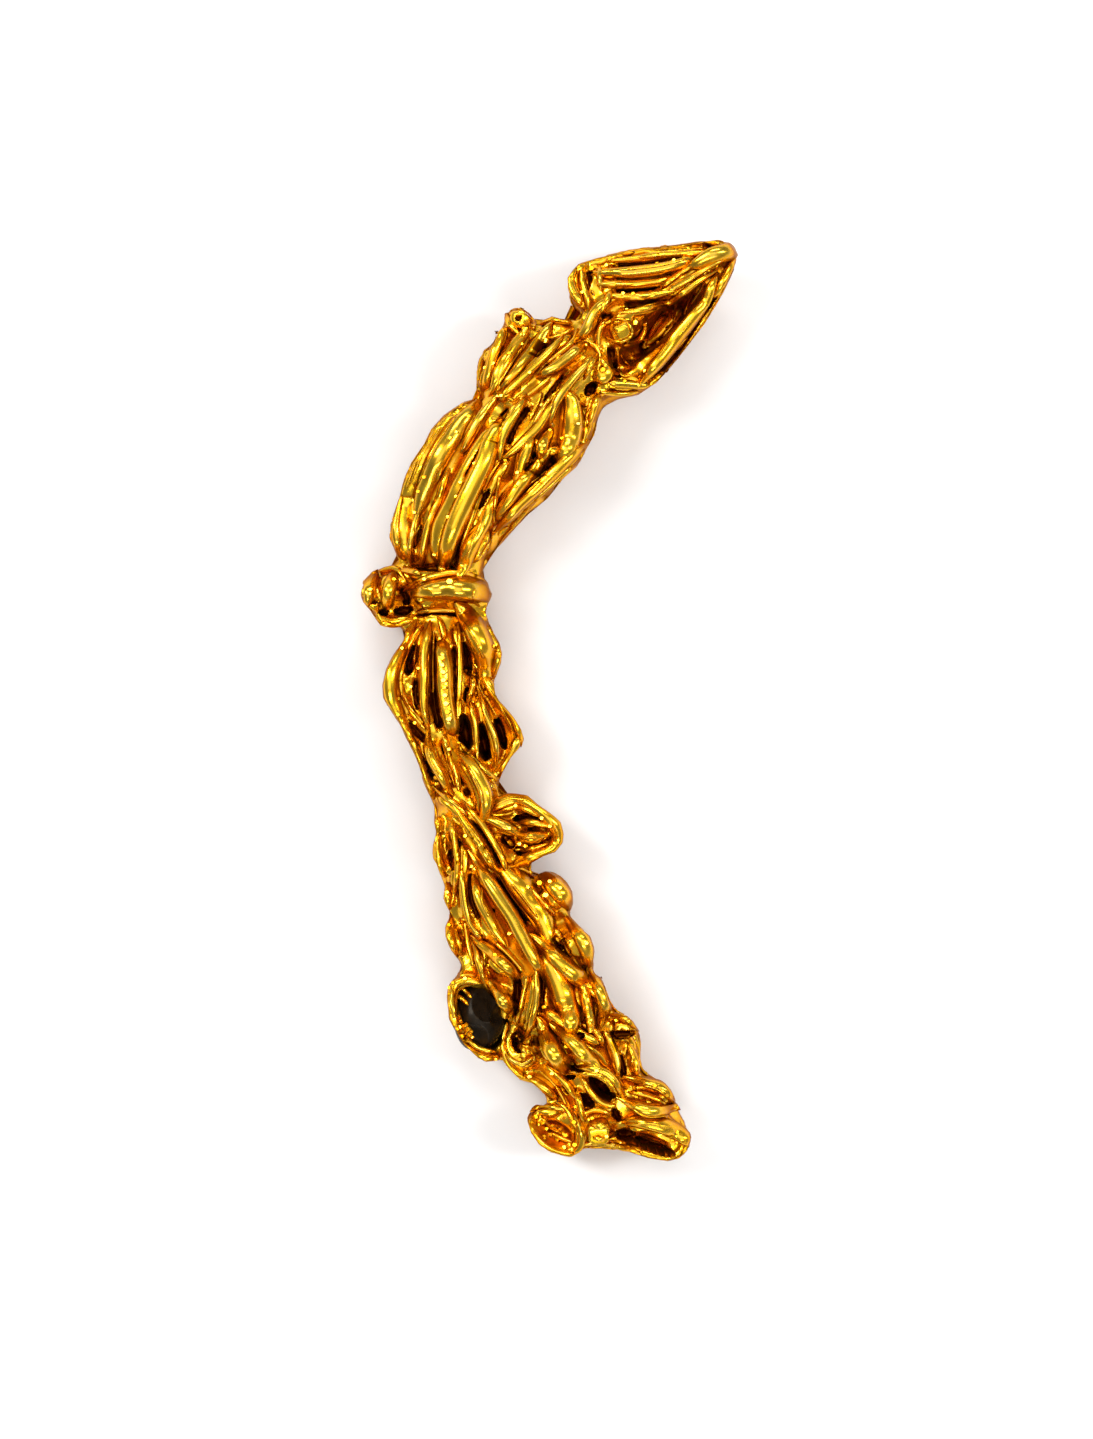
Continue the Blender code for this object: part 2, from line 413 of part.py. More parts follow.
def outline_distance(places):
    """How far each plan place is inside the outline, below zero outside it, and the way inward."""
    nearest = np.full(len(places), 1e9)
    inward = np.zeros((len(places), 2))
    inside = np.zeros(len(places), bool)
    for a, b in zip(OUTLINE, OUTLINE[1:] + OUTLINE[:1]):
        edge = np.subtract(b, a)
        share = np.clip((places - a) @ edge / (edge @ edge), 0, 1)
        offset = places - a - share[:, None] * edge
        gap = np.hypot(*offset.T)
        nearer = gap < nearest
        nearest[nearer] = gap[nearer]
        inward[nearer] = (edge[1], -edge[0]) / np.hypot(*edge)
        clear = nearer & (gap > 0.05)
        facing = np.sign(np.sum(offset * inward, axis=1))
        inward[clear] = (offset * (facing / np.maximum(gap, 1e-6))[:, None])[clear]
        if edge[1]:
            crossing = (a[1] > places[:, 1]) != (b[1] > places[:, 1])
            inside ^= crossing & (places[:, 0] < a[0] + (places[:, 1] - a[1]) * edge[0] / edge[1])
    return np.where(inside, nearest, -nearest), inward


def filled_outline():
    """A flattish body with the nugget's outline and a round rim. Returns its points and faces."""
    across = np.arange(-0.3, WIDTH + 0.5, RIM_GRID)
    along = np.arange(-0.3, LENGTH + 0.5, RIM_GRID)
    grid = np.array([(u, v) for v in along for u in across])
    depth = np.clip(outline_distance(grid)[0] / RIM_ROUNDING, 0, 1)
    half_depth = RIM_HALF_DEPTH * np.sqrt(1 - (1 - depth) ** 2)
    path = flowing(TRUNK[::-1] + CROWN[-3::-1])
    nearest = [int(np.argmin((path[:, 0] - u) ** 2 + (path[:, 1] - v) ** 2)) for u, v in grid]
    middle = path[nearest, 2].copy()
    for height, over_u, over_v in RIM_WAVES:
        middle += height * np.sin(over_u * grid[:, 0] + over_v * grid[:, 1])
    upper = {index: k for k, index in enumerate(np.flatnonzero(depth > 0))}
    cells = []
    columns = len(across)
    for row in range(len(along) - 1):
        for column in range(columns - 1):
            corner = row * columns + column
            cell = (corner, corner + 1, corner + 1 + columns, corner + columns)
            if all(index in upper for index in cell):
                cells.append(cell)
    used = sorted({index for cell in cells for index in cell})
    order = {index: k for k, index in enumerate(used)}
    count = len(used)
    points = [(*grid[index], middle[index] + half_depth[index]) for index in used]
    points += [(*grid[index], middle[index] - half_depth[index]) for index in used]
    faces = [tuple(order[index] for index in cell) for cell in cells]
    faces += [tuple(order[index] + count for index in reversed(cell)) for cell in cells]
    sides = {}
    for cell in cells:
        for a, b in zip(cell, cell[1:] + cell[:1]):
            if (b, a) in sides:
                del sides[(b, a)]
            else:
                sides[(a, b)] = None
    faces += [(order[b], order[a], order[a] + count, order[b] + count) for a, b in sides]
    return np.array(points), faces


def mesh_of(name, forms):
    """One mesh that holds every form in the list, still overlapping."""
    points, faces, start = [], [], 0
    for form_points, form_faces in forms:
        points.extend(map(tuple, form_points))
        faces.extend(tuple(index + start for index in face) for face in form_faces)
        start += len(form_points)
    mesh = bpy.data.meshes.new(name)
    mesh.from_pydata(points, [], faces)
    solid = bmesh.new()
    solid.from_mesh(mesh)
    bmesh.ops.recalc_face_normals(solid, faces=solid.faces)
    solid.to_mesh(mesh)
    solid.free()
    return mesh


def with_modifiers(mesh, *settings):
    """The mesh after a list of modifiers, each given as its type and its settings."""
    worker = bpy.data.objects.new("worker", mesh)
    bpy.context.scene.collection.objects.link(worker)
    for kind, values in settings:
        modifier = worker.modifiers.new(kind.title(), kind)
        for setting, value in values.items():
            setattr(modifier, setting, value)
    graph = bpy.context.evaluated_depsgraph_get()
    result = bpy.data.meshes.new_from_object(worker.evaluated_get(graph))
    bpy.data.objects.remove(worker)
    return result


def fused(forms, voxel):
    """Overlapping forms grown together into one skin, with the faces inside it removed."""
    return with_modifiers(
        mesh_of("grown", forms),
        ("REMESH", {"mode": "VOXEL", "voxel_size": voxel, "adaptivity": 0.0}),
        ("SMOOTH", {"factor": 0.5, "iterations": 1}),
    )


def tree_of(mesh):
    """A search tree over a mesh, for laying ropes on it."""
    points = [vertex.co[:] for vertex in mesh.vertices]
    return BVHTree.FromPolygons(points, [polygon.vertices[:] for polygon in mesh.polygons])


def laid_from_above(tree, plan):
    """The places and surface directions on the upper side under a row of plan points."""
    places, ups = [], []
    for u, v in plan:
        place, up, _, _ = tree.ray_cast(Vector((u, v, 20.0)), Vector((0, 0, -1)))
        if place is None:
            place, up, _, _ = tree.find_nearest(Vector((u, v, 4.0)))
        places.append(place[:])
        ups.append((up + Vector((0, 0, 0.6))).normalized()[:])
    return np.array(places), np.array(ups)


def face_rope(tree, half_width, plan):
    """A rope on the upper side, half sunk in what carries it."""
    path = flowing(plan)
    places, ups = laid_from_above(tree, path)
    for _ in range(3):
        places[1:-1, 2] = (places[:-2, 2] + 2 * places[1:-1, 2] + places[2:, 2]) / 4
    centres = places + ups * half_width * ROPE_LIFT
    widths = np.full(len(centres), half_width)
    return swept(centres, widths, widths, ups, cap=1.6 * half_width)


def face_crystals(tree):
    """The crystals of the upper side, each half sunk in what carries it."""
    forms = []
    for u, v, size, turn, lean in CRYSTALS:
        places, ups = laid_from_above(tree, [(u, v)])
        forms.append(crystal(Vector(places[0] + ups[0] * size * 0.35), size, turn, lean))
    return forms


def ring_point(row, angle):
    """A point on the swept mass whose path row is given, at an angle round it, 0 on its right side."""
    u, v, h, wide, deep, side_u, side_v = row
    return Vector((
        u + side_u * wide * math.cos(angle),
        v + side_v * wide * math.cos(angle),
        h + deep * math.sin(angle),
    ))


def with_sides(rows):
    """A mass's smooth path with the plan direction to its right added to each row."""
    path = flowing(rows)
    along = np.gradient(path[:, :2], axis=0)
    along /= np.linalg.norm(along, axis=1)[:, None]
    return np.column_stack([path, -along[:, 1], along[:, 0]])


def back_rope(tree, rows, start, end, first_angle, last_angle, half_width):
    """A rope on the lower side, laid between two places on a mass's path."""
    count = max(6, abs(end - start))
    centres, ups = [], []
    for share in np.linspace(0, 1, count):
        row = rows[min(len(rows) - 1, round(start + (end - start) * share))]
        angle = first_angle + (last_angle - first_angle) * share
        place, up, _, _ = tree.find_nearest(ring_point(row, angle))
        centre = place + up * half_width * ROPE_LIFT
        centre.z = max(centre.z, BACK_LEAST_HEIGHT)
        centres.append(centre[:])
        ups.append(up[:])
    centres = np.array(centres)
    for _ in range(4):
        centres[1:-1] = (centres[:-2] + 2 * centres[1:-1] + centres[2:]) / 4
    widths = np.full(len(centres), half_width)
    return swept(centres, widths, widths, np.array(ups), cap=1.6 * half_width)


def back_ropes(tree):
    """Every rope of the lower side, from one fixed seed."""
    chance = random.Random(BACK_SEED)
    trunk = with_sides(TRUNK)
    crown = with_sides(CROWN)
    forms = []
    for k in range(BACK_ROPES):
        half_width = chance.uniform(*BACK_HALF_WIDTH)
        run = int(chance.uniform(*BACK_LENGTH) / PATH_STEP)
        start = int((len(trunk) - run) * (k + chance.random()) / (BACK_ROPES + 1))
        first = math.radians(-90 + chance.uniform(-112, 112))
        last = first + math.radians(chance.uniform(-28, 28))
        forms.append(back_rope(tree, trunk, start, start + run, first, last, half_width))
    for k in range(BACK_RIBS):
        angle = math.radians(-180 + 180 * (k + 0.5) / BACK_RIBS)
        half_width = chance.uniform(*BACK_HALF_WIDTH)
        forms.append(back_rope(tree, crown, 2, len(crown) - 2, angle, angle, half_width))
    for _ in range(BACK_CRYSTALS):
        row = chance.choice(trunk)
        place, up, _, _ = tree.find_nearest(ring_point(row, math.radians(-90 + chance.uniform(-105, 105))))
        size = chance.uniform(*BACK_CRYSTAL_SIZE)
        place = place + up * size * 0.2
        place.z = max(place.z, BACK_LEAST_HEIGHT + size * 0.6)
        forms.append(crystal(place, size, chance.uniform(0, 90), chance.uniform(0, 60)))
    return forms


def rest_pads():
    """The worn places that the nugget lies on."""
    return [lobe(u, v, PAD_HALF_HEIGHT - PAD_SINK, across, along, PAD_HALF_HEIGHT, 0)
            for u, v, across, along in REST_PADS.values()]


def points_of(mesh):
    """The mesh's points as rows of u, v, h."""
    points = np.empty(len(mesh.vertices) * 3, np.float32)
    mesh.vertices.foreach_get("co", points)
    return points.reshape(-1, 3).astype(float)


def with_points(mesh, points):
    """The mesh with its points moved to new places."""
    mesh.vertices.foreach_set("co", points.astype(np.float32).ravel())
    mesh.update()
    return mesh


def trimmed(mesh):
    """Draws what stands out past the outline back toward it."""
    points = points_of(mesh)
    distance, inward = outline_distance(points[:, :2])
    short = np.clip(TRIM_START - distance, 0, None)
    points[:, :2] += inward * (short * (1 - TRIM_KEEP))[:, None]
    return with_points(mesh, points)


def furrowed(mesh):
    """Runs furrows along the flow on every surface that doesn't face up."""
    points = points_of(mesh)
    path = flowing(TRUNK[::-1] + CROWN[-3::-1])
    run = np.concatenate([[0], np.cumsum(np.hypot(*np.diff(path[:, :2], axis=0).T))])
    along = np.gradient(path[:, :2], axis=0)
    along /= np.linalg.norm(along, axis=1)[:, None]
    for vertex, point in zip(mesh.vertices, points):
        if vertex.normal.z > 0.6 or point[2] < BACK_LEAST_HEIGHT:
            continue
        row = int(np.argmin((path[:, 0] - point[0]) ** 2 + (path[:, 1] - point[1]) ** 2))
        sideways = (point[0] - path[row, 0]) * along[row, 1] - (point[1] - path[row, 1]) * along[row, 0]
        angle = math.atan2(point[2] - path[row, 2], sideways)
        place = Vector((
            FURROW_CLOSENESS * math.cos(angle),
            FURROW_CLOSENESS * math.sin(angle),
            FURROW_STRETCH * run[row] + 0.25 * sideways,
        ))
        ridge = 1 - 3 * abs(noise.noise(place, noise_basis="PERLIN_ORIGINAL"))
        share = min(1.0, (0.6 - vertex.normal.z) / 0.5) * (0.5 + 0.5 * abs(vertex.normal.z))
        point += np.array(vertex.normal) * FURROW_DEPTH * share * (ridge - 0.35)
    return with_points(mesh, points)


def hollowed(mesh):
    """Sinks the hollows into the upper side. Each keeps a steep wall and what lies on its floor."""
    points = points_of(mesh)
    tree = tree_of(mesh)
    for u, v, half_length, half_width, turn, depth in HOLLOWS.values():
        place, _, _, _ = tree.ray_cast(Vector((u, v, 20.0)), Vector((0, 0, -1)))
        angle = math.radians(turn)
        along = (points[:, 0] - u) * math.cos(angle) + (points[:, 1] - v) * math.sin(angle)
        across = (points[:, 1] - v) * math.cos(angle) - (points[:, 0] - u) * math.sin(angle)
        inside = 1 - np.hypot(along / half_length, across / half_width)
        floor = np.clip(inside / HOLLOW_WALL, 0, 1)
        upper = points[:, 2] > place.z - 1.4
        points[:, 2] -= np.where(upper, depth * floor * floor * (3 - 2 * floor), 0)
    return with_points(mesh, points)


def outer_body(mesh):
    """The mesh with only its largest connected skin, so that no sealed space is left inside."""
    solid = bmesh.new()
    solid.from_mesh(mesh)
    unseen = set(solid.verts)
    skins = []
    while unseen:
        skin, front = set(), [unseen.pop()]
        while front:
            vertex = front.pop()
            skin.add(vertex)
            for edge in vertex.link_edges:
                other = edge.other_vert(vertex)
                if other in unseen:
                    unseen.remove(other)
                    front.append(other)
        skins.append(skin)
    largest = max(skins, key=len)
    bmesh.ops.delete(solid, geom=[vertex for vertex in solid.verts if vertex not in largest], context="VERTS")
    bmesh.ops.recalc_face_normals(solid, faces=solid.faces)
    solid.to_mesh(mesh)
    solid.free()
    return mesh


def nugget_mesh():
    """The whole nugget as one skin of a limited number of triangles, still in millimetres."""
    masses = [mass(CROWN, CAP["crown"]), mass(TRUNK, CAP["trunk"])]
    masses += [lobe(*row) for row in LOBES.values()]
    masses.append(filled_outline())
    core = fused(masses, CORE_VOXEL)
    tree = tree_of(core)
    ropes = [face_rope(tree, half_width, plan) for group in FACE_ROPES.values() for half_width, plan in group]
    ropes += face_crystals(tree) + back_ropes(tree)
    skin = fused(masses + ropes + rest_pads(), SKIN_VOXEL)
    skin = outer_body(hollowed(furrowed(trimmed(skin))))
    skin.calc_loop_triangles()
    share = SKIN_TRIANGLES / len(skin.loop_triangles)
    return with_modifiers(skin, ("DECIMATE", {"ratio": share, "use_collapse_triangulate": True}))


def grain_mesh(growth):
    """The mineral grain: a rounded lump with broken faces. growth widens it all round, in millimetres."""
    u, v, h, across, along, through, turn = GRAIN
    chance = random.Random(GRAIN_SEED)
    lump = bmesh.new()
    bmesh.ops.create_icosphere(lump, subdivisions=GRAIN_FACETS, radius=1.0)
    cuts = [Vector((chance.uniform(-1, 1), chance.uniform(-1, 1), chance.uniform(0.2, 1))).normalized()
            for _ in range(7)]
    for vertex in lump.verts:
        for cut in cuts:
            excess = vertex.co.dot(cut) - (1 - GRAIN_ROUGHNESS)
            if excess > 0:
                vertex.co -= cut * excess
    for vertex in lump.verts:
        vertex.co = Vector((
            vertex.co.x * (across + growth),
            vertex.co.y * (along + growth),
            vertex.co.z * (through + growth),
        ))
    lump.transform(Matrix.Translation((u, v, h)) @ Matrix.Rotation(math.radians(turn), 4, "Z"))
    mesh = bpy.data.meshes.new("grain")
    lump.to_mesh(mesh)
    lump.free()
    return mesh


def finish(name, colour, roughness, metallic):
    """A material with the piece's own colour and gloss."""
    material = bpy.data.materials.new(name)
    material.use_nodes = True
    shader = material.node_tree.nodes["Principled BSDF"]
    shader.inputs["Base Color"].default_value = (*colour, 1.0)
    shader.inputs["Roughness"].default_value = roughness
    shader.inputs["Metallic"].default_value = metallic
    return material


def placed(name, mesh, shift, material=None):
    """An object for a millimetre mesh, moved by shift and brought to metres."""
    mesh.transform(Matrix.Scale(METRES, 4) @ Matrix.Translation(shift))
    thing = bpy.data.objects.new(name, mesh)
    bpy.context.scene.collection.objects.link(thing)
    if material:
        mesh.materials.clear()
        mesh.materials.append(material)
    return thing


def cut_away(thing, cutter):
    """Takes a hidden cutter's shape out of a thing."""
    cutter.hide_render = True
    cutter.display_type = "WIRE"
    cut = thing.modifiers.new(cutter.name, "BOOLEAN")
    cut.operation = "DIFFERENCE"
    cut.solver = "EXACT"
    cut.object = cutter


def floor_mesh():
    """A slab under the nugget that cuts its resting places flat."""
    slab = bmesh.new()
    bmesh.ops.create_cube(slab, size=1.0)
    thickness = 3.0
    slab.transform(
        Matrix.Translation((WIDTH / 2, LENGTH / 2, -thickness / 2))
        @ Matrix.Diagonal((WIDTH + 10, LENGTH + 10, thickness, 1))
    )
    mesh = bpy.data.meshes.new("floor slab")
    slab.to_mesh(mesh)
    slab.free()
    return mesh


def main():
    """Builds the nugget and the grain in its cup."""
    for thing in list(bpy.data.objects):
        bpy.data.objects.remove(thing)
    gold = finish("native gold", (0.86, 0.55, 0.10), 0.22, 1.0)
    mineral = finish("dark mineral", (0.035, 0.028, 0.022), 0.15, 0.0)
    skin = nugget_mesh()
    box = np.array([vertex.co[:] for vertex in skin.vertices])
    middle = (box.min(axis=0) + box.max(axis=0)) / 2
    shift = Vector((-middle[0], -middle[1], 0.0))
    nugget = placed("gold_nugget", skin, shift, gold)
    cut_away(nugget, placed("seat cutter", grain_mesh(SEAT_GAP), shift))
    cut_away(nugget, placed("floor cutter", floor_mesh(), shift))
    placed("dark_mineral_grain", grain_mesh(0.0), shift, mineral)


main()
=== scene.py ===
"""A native gold nugget lying on a pale studio floor.

The nugget is laid out in its own plan, in millimetres: u runs across it, v runs along it from the foot
to the crown, and h is the height above the floor. Every finished mesh is brought to metres at the end.
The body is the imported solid, drawn finer and grown together with ropes of gold. Finer strands, plates
and crystals are then laid on it, region by region.
"""

import logging
import math
import random
from collections.abc import Sequence
from dataclasses import dataclass, field
from enum import Enum

import bmesh
import bpy
import numpy as np
from bpy.types import Material, Mesh, Node, NodeSocket, NodeTree, Object
from mathutils import Matrix, Vector
from mathutils.bvhtree import BVHTree
from mathutils.kdtree import KDTree


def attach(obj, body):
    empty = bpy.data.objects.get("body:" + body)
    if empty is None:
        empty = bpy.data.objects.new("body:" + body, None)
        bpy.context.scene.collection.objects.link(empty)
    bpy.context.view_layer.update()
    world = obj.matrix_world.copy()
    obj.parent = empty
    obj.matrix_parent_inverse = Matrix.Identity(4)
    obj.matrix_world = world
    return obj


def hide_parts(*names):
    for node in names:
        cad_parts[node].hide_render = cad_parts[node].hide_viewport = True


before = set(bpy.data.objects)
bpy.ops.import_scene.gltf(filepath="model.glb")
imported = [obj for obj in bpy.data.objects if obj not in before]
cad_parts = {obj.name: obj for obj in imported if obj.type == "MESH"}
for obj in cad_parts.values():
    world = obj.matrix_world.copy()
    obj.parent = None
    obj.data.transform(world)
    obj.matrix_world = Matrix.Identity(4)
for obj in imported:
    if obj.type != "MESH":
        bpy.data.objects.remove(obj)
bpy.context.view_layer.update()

log = logging.getLogger("nugget")

METRES = 0.001
PLAN_MIDDLE = (9.55, 23.125)
HIGHEST_LIFT, WIDE, WIDE_SINK = 0.20, 0.5, 0.35
CREST, CREST_SQUEEZE = 6.1, 0.55
# Painted shade on the sides: the most that the steep sides and the rim get, and how far in from the outline the shaded
# rim reaches, in millimetres.
SIDE_SHADE, SHADED_RIM = 0.6, 0.26
GLINT = Vector((-0.30, 0.16, 0.94))

Colour = tuple[float, float, float]
Plan = tuple[tuple[float, float], ...]


# ---- forms


class Section(Enum):
    """The cross sections of a strand, as (across, up) points for a half width of 1."""

    ROUND = (
        (-1, 0), (-0.87, 0.46), (-0.5, 0.8), (0, 0.92), (0.5, 0.8), (0.87, 0.46), (1, 0), (0.7, -0.7), (0, -1),
        (-0.7, -0.7),
    )
    BLADE = (
        (-1, -0.4), (-0.7, 0.02), (-0.34, 0.46), (-0.08, 0.86), (0.08, 0.86), (0.34, 0.46), (0.7, 0.02), (1, -0.4),
        (0, -1),
    )
    GUTTER = (
        (-1, -0.4), (-0.98, 0.42), (-0.74, 0.62), (-0.42, 0.12), (0, 0), (0.42, 0.12), (0.74, 0.62), (0.98, 0.42),
        (1, -0.4), (0, -1),
    )
    PLATE = ((-1, -0.5), (-0.94, 0.3), (-0.78, 0.46), (0, 0.56), (0.78, 0.46), (0.94, 0.3), (1, -0.5), (0, -0.9))
    LEAF = (
        (-1, -0.5), (-0.98, -0.05), (-0.88, 0.2), (-0.55, 0.33), (-0.18, 0.38), (0.18, 0.38), (0.55, 0.33),
        (0.88, 0.2), (0.98, -0.05), (1, -0.5), (0, -0.9),
    )


@dataclass(frozen=True)
class Strand:
    """A rope, blade, gutter or plate of gold that follows a line over the surface.

    half_width is in millimetres, path holds plan points, and lift says how far its middle stands out of
    what carries it, as a share of the half width.
    """

    half_width: float
    path: Plan
    section: Section
    lift: float


def strand(half_width: float, *plan: float, section: Section = Section.ROUND, lift: float = 0.4) -> Strand:
    """Writes a strand down shortly.

    Args:
        half_width: half its width, in millimetres.
        plan: the plan points that it runs through, u and v in turn.
        section: its cross section.
        lift: how far its middle stands out, as a share of the half width.

    Returns:
        The strand.
    """
    return Strand(half_width, tuple(zip(plan[::2], plan[1::2])), section, lift)


def blade(half_width: float, *plan: float, lift: float = 0.4) -> Strand:
    """A strand with a sharp crest; the arguments are those of strand()."""
    return strand(half_width, *plan, section=Section.BLADE, lift=lift)


def gutter(half_width: float, *plan: float, lift: float = 0.4) -> Strand:
    """A strand with a trough between two rims; the arguments are those of strand()."""
    return strand(half_width, *plan, section=Section.GUTTER, lift=lift)


def plate(half_width: float, *plan: float, lift: float = 0.3) -> Strand:
    """A flat strand with crisp edges; the arguments are those of strand()."""
    return strand(half_width, *plan, section=Section.PLATE, lift=lift)


def leaf(half_width: float, *plan: float, lift: float = 0.5) -> Strand:
    """A domed strand that narrows all the way to both ends; the arguments are those of strand()."""
    return strand(half_width, *plan, section=Section.LEAF, lift=lift)


Strands = tuple[Strand, ...]


@dataclass(frozen=True)
class Groove:
    """A slot sunk along a line over the upper side: half width and depth in millimetres, and plan points."""

    half_width: float
    depth: float
    path: Plan


def groove(half_width: float, depth: float, *plan: float) -> Groove:
    """Writes a groove down shortly.

    Args:
        half_width: half its width, in millimetres.
        depth: its depth, in millimetres.
        plan: the plan points that it runs through, u and v in turn.

    Returns:
        The groove.
    """
    return Groove(half_width, depth, tuple(zip(plan[::2], plan[1::2])))


@dataclass(frozen=True)
class Hollow:
    """An oval hollow in the upper side, in millimetres, turned in the plan by so many degrees."""

    u: float
    v: float
    half_length: float
    half_width: float
    turn: float
    depth: float


@dataclass(frozen=True)
class Knob:
    """A rounded lump on the upper side: plan place, half sizes across, along and up, and turn in degrees."""

    u: float
    v: float
    across: float
    along: float
    rise: float
    turn: float = 0.0


@dataclass(frozen=True)
class Bead:
    """A small round bead of gold that catches the light: plan place and radius."""

    u: float
    v: float
    radius: float


def beads(radius: float, *plan: float) -> tuple[Bead, ...]:
    """Beads of one radius at plan points, u and v in turn."""
    return tuple(Bead(u, v, radius) for u, v in zip(plan[::2], plan[1::2]))


@dataclass(frozen=True)
class Cube:
    """A cube of gold with cut corners: plan place, half size, and its turn and lean in degrees."""

    u: float
    v: float
    size: float
    turn: float
    lean: float


# ---- numbers


def flowing(points: Sequence[Sequence[float]], step: float) -> np.ndarray:
    """Reads points from a smooth curve.

    Args:
        points: rows that the curve goes through; the first two columns are the plan place.
        step: the largest distance between two of the points that are read, in millimetres.

    Returns:
        The rows that were read, with every column carried along.
    """
    rows = np.array(points, float)
    padded = np.vstack([2 * rows[0] - rows[1], rows, 2 * rows[-1] - rows[-2]])
    found = []
    for a, b, c, d in zip(padded, padded[1:], padded[2:], padded[3:]):
        count = max(2, math.ceil(np.linalg.norm(c[:2] - b[:2]) / step))
        for t in np.arange(count) / count:
            found.append(
                0.5 * (2 * b + (c - a) * t + (2 * a - 5 * b + 4 * c - d) * t**2 + (3 * b - a - 3 * c + d) * t**3)
            )
    found.append(rows[-1])
    return np.array(found)


def end_taper(places: np.ndarray, cap: float) -> np.ndarray:
    """How much of its full section a strand keeps at each point.

    Args:
        places: its middle points.
        cap: the length over which each end closes, in millimetres.

    Returns:
        One share for each point.
    """
    steps = np.linalg.norm(np.diff(places, axis=0), axis=1)
    along = np.concatenate([[0.0], np.cumsum(steps)])
    nearest = np.minimum(along, along[-1] - along)
    return np.sqrt(np.clip(1 - (1 - np.clip(nearest / cap, 0.02, 1)) ** 2, 0, 1))


def cloud(places: np.ndarray, seed: int) -> np.ndarray:
    """A smooth random field.

    Args:
        places: rows of x, y, z; the field changes over a distance of about 1.
        seed: picks the field.

    Returns:
        One value from 0 to 1 for each row.
    """
    cell = np.floor(places).astype(np.int64)
    part = places - cell
    part = part * part * part * (part * (part * 6 - 15) + 10)
    total = np.zeros(len(places))
    for corner in range(8):
        offset = np.array([corner & 1, corner >> 1 & 1, corner >> 2 & 1])
        x, y, z = (cell + offset).T
        mixed = (x * 374761393 + y * 668265263 + z * 1274126177 + seed * 951274213) & 0xFFFFFFFF
        mixed = ((mixed ^ (mixed >> 13)) * 1103515245) & 0xFFFFFFFF
        mixed = ((mixed ^ (mixed >> 15)) * 668265263) & 0xFFFFFFFF
        weight = np.prod(np.where(offset == 1, part, 1 - part), axis=1)
        total += weight * ((mixed ^ (mixed >> 16)) & 0xFFFF) / 65535.0
    return total


def ridges(places: np.ndarray, seed: int) -> np.ndarray:
    """A random field of sharp crests, from 0 in the troughs to 1 on the crests; see cloud()."""
    return 1 - np.abs(2 * cloud(places, seed) - 1)


def eased(value: np.ndarray) -> np.ndarray:
    """The value held between 0 and 1, with a soft start and a soft end."""
    held = np.clip(value, 0, 1)
    return held * held * (3 - 2 * held)


# ---- meshes


def points_of(mesh: Mesh) -> np.ndarray:
    """The mesh's points as rows of u, v, h."""
    points = np.empty(len(mesh.vertices) * 3, np.float32)
    mesh.vertices.foreach_get("co", points)
    return points.reshape(-1, 3).astype(float)


def normals_of(mesh: Mesh) -> np.ndarray:
    """The mesh's point normals as rows."""
    normals = np.empty(len(mesh.vertices) * 3, np.float32)
    mesh.vertices.foreach_get("normal", normals)
    return normals.reshape(-1, 3).astype(float)


def move_points(mesh: Mesh, points: np.ndarray) -> None:
    """Gives the mesh's points new places."""
    mesh.vertices.foreach_set("co", points.astype(np.float32).ravel())
    mesh.update()


def set_values(mesh: Mesh, name: str, values: np.ndarray) -> None:
    """Keeps one number for each of the mesh's points, under a name."""
    layer = mesh.attributes.get(name) or mesh.attributes.new(name, "FLOAT", "POINT")
    layer.data.foreach_set("value", values.astype(np.float32))


def finished(name: str, work: bmesh.types.BMesh) -> Mesh:
    """A mesh of what was worked on, which is let go."""
    mesh = bpy.data.meshes.new(name)
    work.to_mesh(mesh)
    work.free()
    return mesh


def joined(name: str, meshes: Sequence[Mesh]) -> Mesh:
    """One mesh that holds all the given ones.

    Args:
        name: its name.
        meshes: what goes into it.

    Returns:
        The mesh, with each one's point numbers and faces carried over.
    """
    work = bmesh.new()
    for mesh in meshes:
        work.from_mesh(mesh)
    return finished(name, work)


def evaluated(thing: Object) -> Mesh:
    """The mesh that a thing's modifiers make; the thing itself is taken away."""
    graph = bpy.context.evaluated_depsgraph_get()
    mesh = bpy.data.meshes.new_from_object(thing.evaluated_get(graph), preserve_all_data_layers=True, depsgraph=graph)
    bpy.data.objects.remove(thing)
    return mesh


def worker(mesh: Mesh) -> Object:
    """A passing object that carries a mesh through its modifiers."""
    thing = bpy.data.objects.new("worker", mesh)
    bpy.context.scene.collection.objects.link(thing)
    return thing


def through(mesh: Mesh, *settings: tuple[str, dict[str, object]]) -> Mesh:
    """The mesh after a list of modifiers.

    Args:
        mesh: what they work on.
        settings: each modifier's type and its settings.

    Returns:
        A new mesh.
    """
    thing = worker(mesh)
    for kind, values in settings:
        modifier = thing.modifiers.new(kind.title(), kind)
        for setting, value in values.items():
            setattr(modifier, setting, value)
    return evaluated(thing)


def search_tree(mesh: Mesh) -> BVHTree:
    """A search tree over a mesh's faces."""
    return BVHTree.FromPolygons(points_of(mesh).tolist(), [face.vertices[:] for face in mesh.polygons])


def ball(place: Sequence[float], halves: Sequence[float], turn: float, finer: int = 3) -> Mesh:
    """A closed ball, stretched and turned in the plan.

    Args:
        place: its middle.
        halves: its half sizes across, along and up.
        turn: its turn in degrees.
        finer: how often its faces are divided.

    Returns:
        The mesh.
    """
    work = bmesh.new()
    bmesh.ops.create_icosphere(work, subdivisions=finer, radius=1.0)
    work.transform(
        Matrix.Translation(place) @ Matrix.Rotation(math.radians(turn), 4, "Z") @ Matrix.Diagonal((*halves, 1))
    )
    return finished("knob", work)


